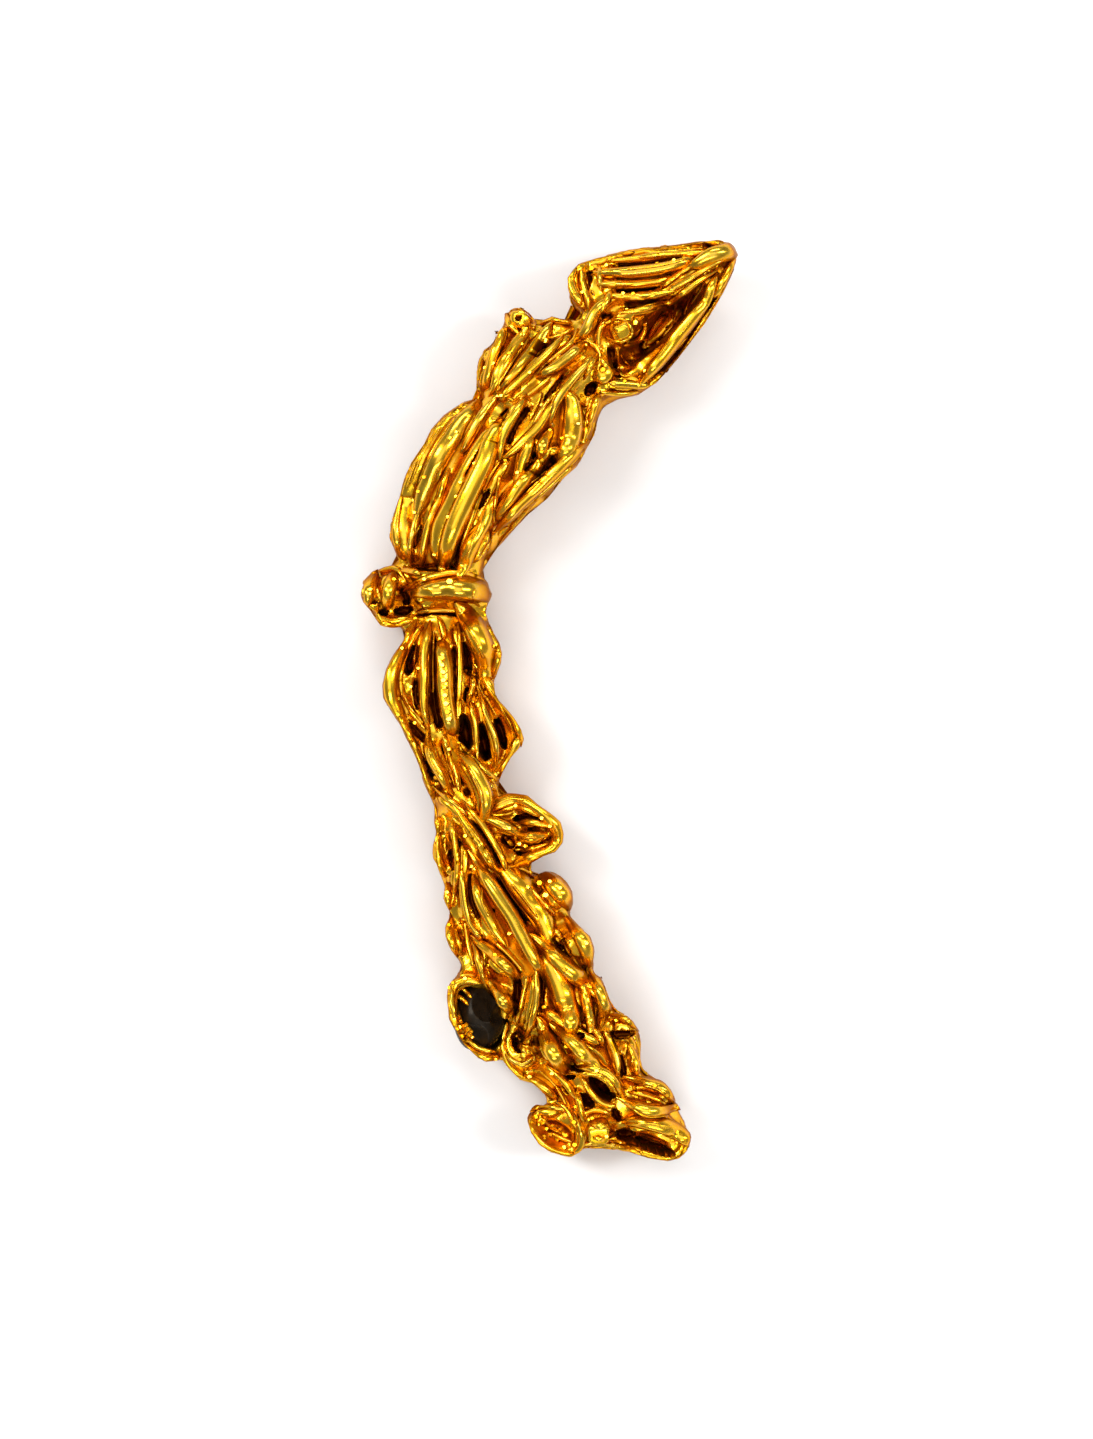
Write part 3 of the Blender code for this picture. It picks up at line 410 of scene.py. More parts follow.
def cut_cube(size: float, cut: float) -> Mesh:
    """A cube with cut corners, the habit of native gold.

    Args:
        size: its half size.
        cut: how much of each edge a corner takes, as a share of the half size.

    Returns:
        The mesh, round the origin.
    """
    work = bmesh.new()
    bmesh.ops.create_cube(work, size=2.0)
    bmesh.ops.bevel(work, geom=list(work.verts), offset=cut, segments=1, affect="VERTICES")
    work.transform(Matrix.Scale(size, 4))
    return finished("cut cube", work)


def crystal_face(toward: Vector) -> Mesh:
    """A low six-sided crystal of half width 1 with a flat face.

    Args:
        toward: the direction that its face looks in.

    Returns:
        Its mesh.
    """
    rings = ((0.72, 0.42), (1.0, 0.12), (0.9, -0.9))
    turns = [step * math.tau / 6 for step in range(6)]
    work = bmesh.new()
    rows = [[work.verts.new((radius * math.cos(turn), 0.8 * radius * math.sin(turn), height)) for turn in turns]
            for radius, height in rings]
    work.faces.new(rows[0])
    work.faces.new(rows[-1][::-1])
    for upper, lower in zip(rows, rows[1:]):
        for step in range(6):
            after = (step + 1) % 6
            work.faces.new((lower[step], lower[after], upper[after], upper[step]))
    work.transform(Vector((0, 0, 1)).rotation_difference(toward).to_matrix().to_4x4())
    return finished("crystal face", work)


def lump(seed: int) -> Mesh:
    """A smooth uneven lump of half size 1, longer than it is wide."""
    mesh = ball((0, 0, 0), (1, 1, 1), 0, 3)
    points = points_of(mesh)
    points *= (0.75 + 0.5 * cloud(points * 1.1, seed))[:, None]
    move_points(mesh, points * np.array((1.0, 0.55, 0.5)))
    mesh.polygons.foreach_set("use_smooth", np.ones(len(mesh.polygons), bool))
    return mesh


class Ground:
    """What strands and crystals are laid on, seen from above or from the side."""

    def __init__(self, mesh: Mesh) -> None:
        """Keeps a search tree over the mesh that carries them."""
        self.tree = search_tree(mesh)

    def below(self, u: float, v: float) -> tuple[Vector, Vector]:
        """The upper side's place and normal under a plan point, or the nearest ones where there is none."""
        place, up, _, _ = self.tree.ray_cast(Vector((u, v, 20.0)), Vector((0, 0, -1)))
        if place is None:
            place, up, _, _ = self.tree.find_nearest(Vector((u, v, 3.4)))
        return place, up

    def nearest(self, place: Sequence[float]) -> tuple[Vector, Vector]:
        """The nearest place on the surface, and its normal."""
        found, up, _, _ = self.tree.find_nearest(Vector(place))
        return found, up

    def clearance(self, points: np.ndarray) -> np.ndarray:
        """How far each point stands out of the surface, below zero inside it."""
        gaps = np.empty(len(points))
        for row, point in enumerate(points):
            found, up = self.nearest(point)
            gaps[row] = (Vector(point) - found).dot(up)
        return gaps


class LayeredGround(Ground):
    """Several grounds on top of each other."""

    def __init__(self, *layers: Ground) -> None:
        """Keeps the grounds, the one that reaches everywhere first."""
        self.layers = layers

    def below(self, u: float, v: float) -> tuple[Vector, Vector]:
        """The place and normal of the highest surface under a plan point."""
        best = self.layers[0].below(u, v)
        for layer in self.layers[1:]:
            place, up, _, _ = layer.tree.ray_cast(Vector((u, v, 20.0)), Vector((0, 0, -1)))
            if place is not None and place.z > best[0].z:
                best = (place, up)
        return best

    def nearest(self, place: Sequence[float]) -> tuple[Vector, Vector]:
        """The nearest place on any of the surfaces, and its normal."""
        spot = Vector(place)
        return min((layer.nearest(spot) for layer in self.layers), key=lambda found: (found[0] - spot).length)

    def clearance(self, points: np.ndarray) -> np.ndarray:
        """How far each point stands out of all the surfaces."""
        return np.min([layer.clearance(points) for layer in self.layers], axis=0)


@dataclass
class LaidStrand:
    """A strand in its place: middle points, up directions, half widths and section."""

    places: np.ndarray
    ups: np.ndarray
    half_widths: np.ndarray
    section: Section

    def tone(self) -> float:
        """The strand's own shade, from 0 to 1, by where it starts."""
        return float(math.sin(self.places[0] @ (12.9898, 78.233, 37.719)) * 43758.5453 % 1)


def laid_from_above(ground: Ground, piece: Strand, step: float, smoothing: int = 3, lean: float = 0.7) -> LaidStrand:
    """Lays a strand on the upper side.

    Args:
        ground: what carries it.
        piece: the strand.
        step: the distance between its points, in millimetres.
        smoothing: how often its height is evened out along it.
        lean: how far its upper side leans from the surface's own direction to straight up.

    Returns:
        The strand in its place.
    """
    plan = flowing(piece.path, step)
    found = [ground.below(u, v) for u, v in plan]
    places = np.array([place[:] for place, _ in found])
    ups = np.array([(up + Vector((0, 0, lean))).normalized()[:] for _, up in found])
    for _ in range(smoothing):
        places[1:-1, 2] = (places[:-2, 2] + 2 * places[1:-1, 2] + places[2:, 2]) / 4
        ups[1:-1] = (ups[:-2] + 2 * ups[1:-1] + ups[2:]) / 4
    places[:, 2] -= CREST_SQUEEZE * np.clip(places[:, 2] - CREST, 0, None)
    places[:, :2] = plan
    length = np.linalg.norm(np.diff(places, axis=0), axis=1).sum()
    cap = 0.48 * length if piece.section is Section.LEAF else 2.4 * piece.half_width
    widths = piece.half_width * np.maximum(end_taper(places, cap), 0.06)
    stand = min(piece.half_width * piece.lift, HIGHEST_LIFT) - WIDE_SINK * max(piece.half_width - WIDE, 0)
    return LaidStrand(places + ups * stand, ups, widths, piece.section)


# ---- Geometry Nodes


class Maths:
    """A socket in an expression. Each operator adds a Math node."""

    def __init__(self, maker: "NodeMaker", socket: NodeSocket) -> None:
        """Keeps the socket and the maker whose tree it is in."""
        self.maker = maker
        self.socket = socket

    def _with(self, operation: str, first: object, second: object) -> "Maths":
        """The Math node that does this operation on the two."""
        return self.maker.value("ShaderNodeMath", {"operation": operation}, _0=first, _1=second)

    def __add__(self, other: object) -> "Maths":
        """self + other."""
        return self._with("ADD", self, other)

    def __radd__(self, other: object) -> "Maths":
        """other + self."""
        return self._with("ADD", other, self)

    def __sub__(self, other: object) -> "Maths":
        """self - other."""
        return self._with("SUBTRACT", self, other)

    def __rsub__(self, other: object) -> "Maths":
        """other - self."""
        return self._with("SUBTRACT", other, self)

    def __mul__(self, other: object) -> "Maths":
        """self * other."""
        return self._with("MULTIPLY", self, other)

    def __rmul__(self, other: object) -> "Maths":
        """other * self."""
        return self._with("MULTIPLY", other, self)

    def held(self) -> "Maths":
        """The value held between 0 and 1."""
        return self.maker.value("ShaderNodeMath", {"operation": "ADD", "use_clamp": True}, _0=self, _1=0.0)


class NodeMaker:
    """Adds nodes to one tree."""

    def __init__(self, tree: NodeTree) -> None:
        """Keeps the tree."""
        self.tree = tree

    def node(self, kind: str, settings: dict[str, object] | None = None, **sockets: object) -> Node:
        """Adds a node.

        Args:
            kind: its type.
            settings: its own settings, which are set first; "stops" gives a ramp's places and greys.
            sockets: a value, link or expression for each input, by its name with _ for a space, or by _ and
                its number.

        Returns:
            The node.
        """
        made = self.tree.nodes.new(kind)
        for setting, value in (settings or {}).items():
            if setting == "stops":
                stops = made.color_ramp.elements
                while len(stops) < len(value):
                    stops.new(0.5)
                for stop, (place, grey) in zip(stops, value):
                    stop.position, stop.color = place, (grey, grey, grey, 1.0)
            else:
                setattr(made, setting, value)
        for label, value in sockets.items():
            self.feed(made.inputs[int(label[1:]) if label[0] == "_" else label.replace("_", " ")], value)
        return made

    def feed(self, socket: NodeSocket, value: object) -> None:
        """Links a socket or an expression to an input, or sets its value."""
        if isinstance(value, Maths):
            value = value.socket
        if isinstance(value, NodeSocket):
            self.tree.links.new(value, socket)
        elif isinstance(value, tuple) and len(value) == 3 and socket.type == "RGBA":
            socket.default_value = (*value, 1.0)
        else:
            socket.default_value = value

    def value(self, kind: str, settings: dict[str, object] | None = None, **sockets: object) -> Maths:
        """Adds a node and gives its first output as an expression; see node()."""
        return Maths(self, self.node(kind, settings, **sockets).outputs[0])

    def output(self, label: str, kind: str, settings: dict[str, object] | None = None, **sockets: object) -> Maths:
        """Adds a node and gives its output of that name as an expression; see node()."""
        return Maths(self, self.node(kind, settings, **sockets).outputs[label])


class Tree(NodeMaker):
    """A Geometry Nodes tree with named inputs."""

    def __init__(self, name: str, **inputs: str) -> None:
        """Makes a tree with a geometry input and output, and more inputs by name, with _ for a space, and kind."""
        super().__init__(bpy.data.node_groups.new(name, "GeometryNodeTree"))
        for label, kind in {"Geometry": "Geometry", **inputs}.items():
            self.tree.interface.new_socket(label.replace("_", " "), in_out="INPUT", socket_type="NodeSocket" + kind)
        self.tree.interface.new_socket("Geometry", in_out="OUTPUT", socket_type="NodeSocketGeometry")
        self.entry = self.tree.nodes.new("NodeGroupInput")
        self.exit = self.tree.nodes.new("NodeGroupOutput")

    def given(self, label: str) -> Maths:
        """The tree's own input of that name."""
        return Maths(self, self.entry.outputs[label])

    def shape(self, label: str) -> Maths:
        """The geometry of the object that an input of that name holds."""
        return self.output("Geometry", "GeometryNodeObjectInfo", Object=self.given(label))

    def named(self, label: str, kind: str = "FLOAT") -> Maths:
        """The value that the geometry carries under a name."""
        return self.output("Attribute", "GeometryNodeInputNamedAttribute", {"data_type": kind}, Name=label)

    def close(self, geometry: Maths) -> None:
        """Ends the tree: instances are made real and the finish is set."""
        real = self.value("GeometryNodeRealizeInstances", Geometry=geometry)
        dressed = self.value("GeometryNodeSetMaterial", Geometry=real, Material=self.given("Finish"))
        self.feed(self.exit.inputs[0], dressed)

    def run(self, mesh: Mesh, **values: object) -> Mesh:
        """Puts a mesh through the tree.

        Args:
            mesh: what goes in.
            values: the tree's inputs by name, with _ for a space.

        Returns:
            The mesh that comes out.
        """
        thing = worker(mesh)
        modifier = thing.modifiers.new("growth", "NODES")
        modifier.node_group = self.tree
        identifiers = {item.name: item.identifier for item in self.tree.interface.items_tree if item.in_out == "INPUT"}
        for label, value in values.items():
            modifier[identifiers[label.replace("_", " ")]] = value
        return evaluated(thing)


class StrandLoom:
    """Sweeps a section along every line of a carrier mesh and makes the result knotty."""

    def __init__(self) -> None:
        """Builds the tree."""
        tree = Tree("strands", Section="Object", Knots="Float", Knots_per_mm="Float", Shift="Float", Finish="Material")
        lines = tree.value("GeometryNodeMeshToCurve", Mesh=tree.given("Geometry"))
        turned = tree.value("GeometryNodeSetCurveNormal", {"mode": "FREE"}, Curve=lines,
                            Normal=tree.named("up", "FLOAT_VECTOR"))
        outline = tree.value("GeometryNodeMeshToCurve", Mesh=tree.shape("Section"))
        swept = tree.value("GeometryNodeCurveToMesh", Curve=turned, Profile_Curve=outline,
                           Scale=tree.named("half_width"), Fill_Caps=True)
        place = tree.value("ShaderNodeVectorMath", {"operation": "ADD"}, _0=tree.value("GeometryNodeInputPosition"),
                           _1=tree.given("Shift"))
        bumps = tree.value("ShaderNodeTexNoise", {"noise_dimensions": "3D"}, Vector=place,
                           Scale=tree.given("Knots per mm"), Detail=1.5, Roughness=0.55)
        offset = tree.value("ShaderNodeVectorMath", {"operation": "SCALE"}, _0=tree.value("GeometryNodeInputNormal"),
                            Scale=(bumps - 0.5) * tree.named("half_width") * tree.given("Knots"))
        knotty = tree.value("GeometryNodeSetPosition", Geometry=swept, Offset=offset)
        tree.close(tree.value("GeometryNodeSetShadeSmooth", Geometry=knotty, Shade_Smooth=True))
        self.tree = tree

    def carrier(self, strands: Sequence[LaidStrand]) -> Mesh:
        """A mesh of lines that carries the strands' half widths and up directions."""
        points = np.vstack([piece.places for piece in strands])
        edges, start = [], 0
        for piece in strands:
            edges += [(start + k, start + k + 1) for k in range(len(piece.places) - 1)]
            start += len(piece.places)
        mesh = bpy.data.meshes.new("carrier")
        mesh.from_pydata([tuple(point) for point in points], edges, [])
        set_values(mesh, "half_width", np.concatenate([piece.half_widths for piece in strands]))
        set_values(mesh, "tone", np.concatenate([np.full(len(piece.places), piece.tone()) for piece in strands]))
        ups = mesh.attributes.new("up", "FLOAT_VECTOR", "POINT")
        ups.data.foreach_set("vector", np.vstack([piece.ups for piece in strands]).astype(np.float32).ravel())
        return mesh

    def weave(self, strands: Sequence[LaidStrand], finish: Material, knots: float = 0.25,
              per_mm: float = 0.9, shift: float = 0.0) -> Mesh:
        """Makes the strands real.

        Args:
            strands: strands in their places.
            finish: their material.
            knots: how far their knots stand out, as a share of the half width.
            per_mm: how close the knots stand.
            shift: moves the pattern of knots.

        Returns:
            One mesh with every strand as a closed skin.
        """
        parts = []
        for section in Section:
            chosen = [piece for piece in strands if piece.section is section]
            if not chosen:
                continue
            outline = section.value
            count = len(outline)
            ring = bpy.data.meshes.new(section.name.lower())
            ring.from_pydata([(-x, y, 0.0) for x, y in outline], [(k, (k + 1) % count) for k in range(count)], [])
            profile = worker(ring)
            parts.append(self.tree.run(self.carrier(chosen), Section=profile, Knots=knots, Knots_per_mm=per_mm,
                                       Shift=shift, Finish=finish))
            bpy.data.objects.remove(profile)
        work = bmesh.new()
        work.from_mesh(joined("strands", parts))
        bmesh.ops.recalc_face_normals(work, faces=work.faces)
        bmesh.ops.triangulate(work, faces=[face for face in work.faces if len(face.verts) > 4])
        return finished("strands", work)


class CrystalSower:
    """Sows small forms over a surface, where the surface's value "perch" allows it."""

    apart: float = 0.16

    def __init__(self) -> None:
        """Builds the tree."""
        tree = Tree("crystals", Crystal="Object", Per_square_mm="Float", Least_size="Float", Largest_size="Float",
                    Seed="Int", Finish="Material")
        seed = tree.given("Seed")
        sown = tree.output("Points", "GeometryNodeDistributePointsOnFaces", {"distribute_method": "POISSON"},
                           Mesh=tree.given("Geometry"), Distance_Min=self.apart,
                           Density_Max=tree.given("Per square mm"), Density_Factor=tree.named("perch"), Seed=seed)
        turn = tree.value("FunctionNodeRandomValue", {"data_type": "FLOAT_VECTOR"}, _0=(0.0, 0.0, 0.0),
                          _1=(6.283, 6.283, 6.283), Seed=seed)
        size = tree.node("FunctionNodeRandomValue", {"data_type": "FLOAT"}, _2=tree.given("Least size"),
                         _3=tree.given("Largest size"), Seed=seed).outputs[1]
        tree.close(tree.value("GeometryNodeInstanceOnPoints", Points=sown, Instance=tree.shape("Crystal"),
                              Rotation=turn, Scale=size))
        self.tree = tree

    def sow(self, shape: Mesh, ground: Mesh, per_area: float, sizes: tuple[float, float], seed: int,
            finish: Material) -> Mesh:
        """Sows crystals.

        Args:
            shape: one of them, of half size 1.
            ground: the mesh that they sit on, with its value "perch".
            per_area: how many there are to a square millimetre at most.
            sizes: the least and the largest half size, in millimetres.
            seed: the fixed seed.
            finish: their material.

        Returns:
            One mesh with every crystal.
        """
        block = worker(shape)
        mesh = self.tree.run(ground, Crystal=block, Per_square_mm=per_area, Least_size=sizes[0],
                             Largest_size=sizes[1], Seed=seed, Finish=finish)
        bpy.data.objects.remove(block)
        return mesh


class BeadSetter:
    """Sets a small crystal face on every point of a mesh, of the size that the point carries.

    The faces are nearly parallel, as those of one grown crystal are.
    """

    size: float = 1.65
    sway: float = 0.07

    def __init__(self) -> None:
        """Builds the tree."""
        tree = Tree("crystal faces", Face="Object", Size="Float", Sway="Float", Seed="Int", Finish="Material")
        points = tree.value("GeometryNodeMeshToPoints", Mesh=tree.given("Geometry"), Radius=0.01)
        chance = tree.value("FunctionNodeRandomValue", {"data_type": "FLOAT_VECTOR"}, _0=(-1.0, -1.0, -3.0),
                            _1=(1.0, 1.0, 3.0), Seed=tree.given("Seed"))
        turn = tree.value("ShaderNodeVectorMath", {"operation": "SCALE"}, _0=chance, Scale=tree.given("Sway"))
        tree.close(tree.value("GeometryNodeInstanceOnPoints", Points=points, Instance=tree.shape("Face"),
                              Rotation=turn, Scale=tree.named("bead_size") * tree.given("Size")))
        self.tree = tree

    def set_out(self, ground: Ground, chosen: Sequence[Bead], finish: Material) -> Mesh:
        """Sets crystal faces on a ground.

        Args:
            ground: what carries them.
            chosen: their places and sizes.
            finish: their material.

        Returns:
            One mesh with every face.
        """
        places = [(bead.u, bead.v, ground.below(bead.u, bead.v)[0].z + 0.3 * bead.radius) for bead in chosen]
        carrier = bpy.data.meshes.new("bead places")
        carrier.from_pydata(places, [], [])
        set_values(carrier, "bead_size", np.array([bead.radius for bead in chosen]))
        shape = worker(crystal_face(GLINT))
        mesh = self.tree.run(carrier, Face=shape, Size=self.size, Sway=self.sway, Seed=len(chosen), Finish=finish)
        bpy.data.objects.remove(shape)
        return mesh


# ---- finishes


class ShaderMaker(NodeMaker):
    """Adds nodes to one material."""

    def __init__(self, name: str) -> None:
        """Makes a material with a Principled shader and an output."""
        self.material = bpy.data.materials.new(name)
        self.material.use_nodes = True
        super().__init__(self.material.node_tree)

    def dressed(self, **sockets: object) -> Material:
        """Feeds the Principled shader's inputs, by name with _ for a space, and gives the material."""
        for label, value in sockets.items():
            self.feed(self.tree.nodes["Principled BSDF"].inputs[label.replace("_", " ")], value)
        return self.material

    def mixed(self, share: object, first: object, second: object) -> NodeSocket:
        """A colour between two, by a share from 0 to 1."""
        return self.node("ShaderNodeMix", {"data_type": "RGBA"}, _0=share, _6=first, _7=second).outputs[2]

    def kept(self, name: str) -> Maths:
        """The number that the mesh keeps for each point under a name."""
        return self.output("Fac", "ShaderNodeAttribute", {"attribute_name": name})

    def place(self) -> Maths:
        """The piece's own coordinates, in metres."""
        return self.output("Object", "ShaderNodeTexCoord")

    def noise(self, place: object, per_mm: float, detail: float = 3.0, roughness: float = 0.55,
              distortion: float = 0.0) -> Maths:
        """A noise pattern.

        Args:
            place: where it is read.
            per_mm: how many waves it has to a millimetre.
            detail: how many finer layers it has.
            roughness: how strong these are.
            distortion: how much it is warped.

        Returns:
            The pattern, mostly from 0.3 to 0.7.
        """
        return self.value("ShaderNodeTexNoise", {"noise_dimensions": "3D"}, Vector=place, Scale=per_mm / METRES,
                          Detail=detail, Roughness=roughness, Distortion=distortion)

    def spread(self, source: object, low: float, high: float) -> Maths:
        """The source stretched so that low becomes 0 and high becomes 1, and held there."""
        return self.value("ShaderNodeMapRange", {"clamp": True}, Value=source, From_Min=low, From_Max=high,
                          To_Min=0.0, To_Max=1.0)


@dataclass(frozen=True)
class NativeGold:
    """Native gold: yellow to orange, olive where it is thinly worn; painted shade turns it amber to brown and dull in
    its creases, on its steep sides and where other forms touch it.
    """

    yellow: Colour = (1.0, 0.57, 0.014)
    orange: Colour = (0.94, 0.44, 0.002)
    olive: Colour = (0.56, 0.36, 0.02)
    hollow_shade: Colour = (0.78, 0.33, 0.001)
    crease_shade: Colour = (0.10, 0.02, 0.0004)
    edge_tint: Colour = (0.40, 0.24, 0.06)
    polish: float = 0.24
    satin: float = 0.32
    grain_depth: float = 0.0000006

    def material(self) -> Material:
        """Builds the material."""
        maker = ShaderMaker("native gold")
        place = maker.place()
        # deep is the painted shade kept in the value "hollow": creases, steep sides, the rim and contacts.
        deep, tone = maker.kept("hollow"), maker.kept("tone")
        broad = maker.spread(maker.noise(place, 0.32, 2.0), 0.40, 0.62)
        patch = maker.spread(maker.noise(place, 1.1, 3.0, 0.6, 0.4), 0.50, 0.66)
        fine = maker.noise(place, 5.5, 4.0, 0.62)
        # Painted shade: deep pushes the colour towards orange here, then towards the amber and brown shade colours
        # below; it also adds roughness and takes the coat away.
        warm = (broad * 0.55 + tone * 0.45 + deep * 0.6).held()
        colour = maker.mixed(warm, self.yellow, self.orange)
        worn = maker.spread(tone, 0.70, 0.80) * 0.5
        colour = maker.mixed(((patch * 0.5 + worn) * (1 - deep)).held(), colour, self.olive)
        colour = maker.mixed((deep * 1.6).held(), colour, self.hollow_shade)
        colour = maker.mixed(((deep - 0.46) * 1.8).held(), colour, self.crease_shade)
        rough = self.polish + (self.satin - self.polish) * maker.spread(patch, 0.0, 1.0) + 0.12 * deep
        bump = maker.value("ShaderNodeBump", Strength=0.4, Distance=self.grain_depth, Height=fine)
        return maker.dressed(Base_Color=colour, Roughness=rough, Metallic=1.0, Specular_Tint=self.edge_tint,
                             Coat_Weight=(0.6 * (1 - 1.4 * deep)).held(), Coat_Roughness=0.07, Normal=bump)


@dataclass(frozen=True)
class DarkMineral:
    """The dark grain: a nearly black, glassy brown mineral with dusty, lighter clouds."""

    black: Colour = (0.004, 0.003, 0.002)
    brown: Colour = (0.016, 0.009, 0.004)
    dust: Colour = (0.05, 0.03, 0.014)
    edge_tint: Colour = (1.0, 0.86, 0.68)
    gloss: float = 0.24
    dull: float = 0.38
    chip_depth: float = 0.000003

    def material(self) -> Material:
        """Builds the material."""
        maker = ShaderMaker("dark mineral")
        place = maker.place()
        cloudy = maker.spread(maker.noise(place, 0.7, 4.0, 0.6, 0.6), 0.42, 0.66)
        dusty = maker.spread(maker.noise(place, 2.4, 4.0, 0.65), 0.60, 0.74)
        chips = maker.noise(place, 3.2, 3.0, 0.6)
        colour = maker.mixed(dusty * 0.4, maker.mixed(cloudy, self.black, self.brown), self.dust)
        bump = maker.value("ShaderNodeBump", Strength=0.5, Distance=self.chip_depth, Height=chips)
        return maker.dressed(Base_Color=colour, Roughness=self.gloss + (self.dull - self.gloss) * cloudy, IOR=1.25,
                             Specular_Tint=self.edge_tint, Normal=bump)


@dataclass(frozen=True)
class PalePaper:
    """The studio floor: matt white paper."""

    white: Colour = (0.90, 0.90, 0.90)
    shade: Colour = (0.86, 0.86, 0.86)
    roughness: float = 0.9

    def material(self) -> Material:
        """Builds the material."""
        maker = ShaderMaker("pale paper")
        soft = maker.noise(maker.place(), 0.02, 2.0)
        return maker.dressed(Base_Color=maker.mixed(soft, self.white, self.shade), Roughness=self.roughness)


# ---- regions of the nugget


@dataclass
class Region:
    """A region of the nugget: the forms that belong to it, from the heaviest to the finest.

    heavy strands, knobs and cubes grow together with the body, hollows and grooves are sunk into it. broad
    strands are laid on it as crisp forms of their own, and fine strands and small beads lie on top of those.
    """

    name: str = "region"
    heavy: Strands = ()
    knobs: tuple[Knob, ...] = ()
    cubes: tuple[Cube, ...] = ()
    hollows: tuple[Hollow, ...] = ()
    grooves: tuple[Groove, ...] = ()
    broad: Strands = ()
    fine: Strands = ()
    small: tuple[Bead, ...] = ()
    fine_step: float = 0.12

    def grown_forms(self, ground: Ground, loom: StrandLoom, finish: Material) -> list[Mesh]:
        """The closed forms that grow together with the body.

        Args:
            ground: what carries them.
            loom: makes the strands.
            finish: their material.

        Returns:
            One mesh for the strands, and one for each knob and cube.
        """
        forms = []
        if self.heavy:
            laid = [laid_from_above(ground, piece, 0.2) for piece in self.heavy]
            forms.append(loom.weave(laid, finish, knots=0.3, per_mm=0.8))
        for knob in self.knobs:
            place, _ = ground.below(knob.u, knob.v)
            forms.append(ball((knob.u, knob.v, place.z), (knob.across, knob.along, knob.rise), knob.turn))
        for cube in self.cubes:
            place, up = ground.below(cube.u, cube.v)
            block = cut_cube(cube.size, 0.55)
            block.transform(
                Matrix.Translation(place + up * cube.size * 0.35)
                @ Matrix.Rotation(math.radians(cube.turn), 4, "Z")
                @ Matrix.Rotation(math.radians(cube.lean), 4, "X")
            )
            forms.append(block)
        return forms

    def build(self, ground: Ground, loom: StrandLoom, setter: BeadSetter, finish: Material) -> Mesh:
        """The region's crisp forms.

        Args:
            ground: the finished body.
            loom: makes the strands.
            setter: sets the beads.
            finish: their material.

        Returns:
            Their mesh in millimetres, with its value "hollow".
        """
        parts = []
        if self.broad:
            laid = [laid_from_above(ground, piece, self.fine_step, 12, 2.2) for piece in self.broad]
            mesh = loom.weave(laid, finish, knots=0.14, per_mm=0.5, shift=float(len(self.broad)))
            parts.append(shaded(mesh, ground, 0.10))
            ground = LayeredGround(ground, Ground(mesh))
        if self.fine:
            laid = [laid_from_above(ground, piece, self.fine_step) for piece in self.fine]
            parts.append(shaded(loom.weave(laid, finish, shift=float(len(self.fine))), ground, 0.05))
        if self.small:
            parts.append(shaded(setter.set_out(ground, self.small, finish), ground, 0.02))
        return joined(self.name, parts)

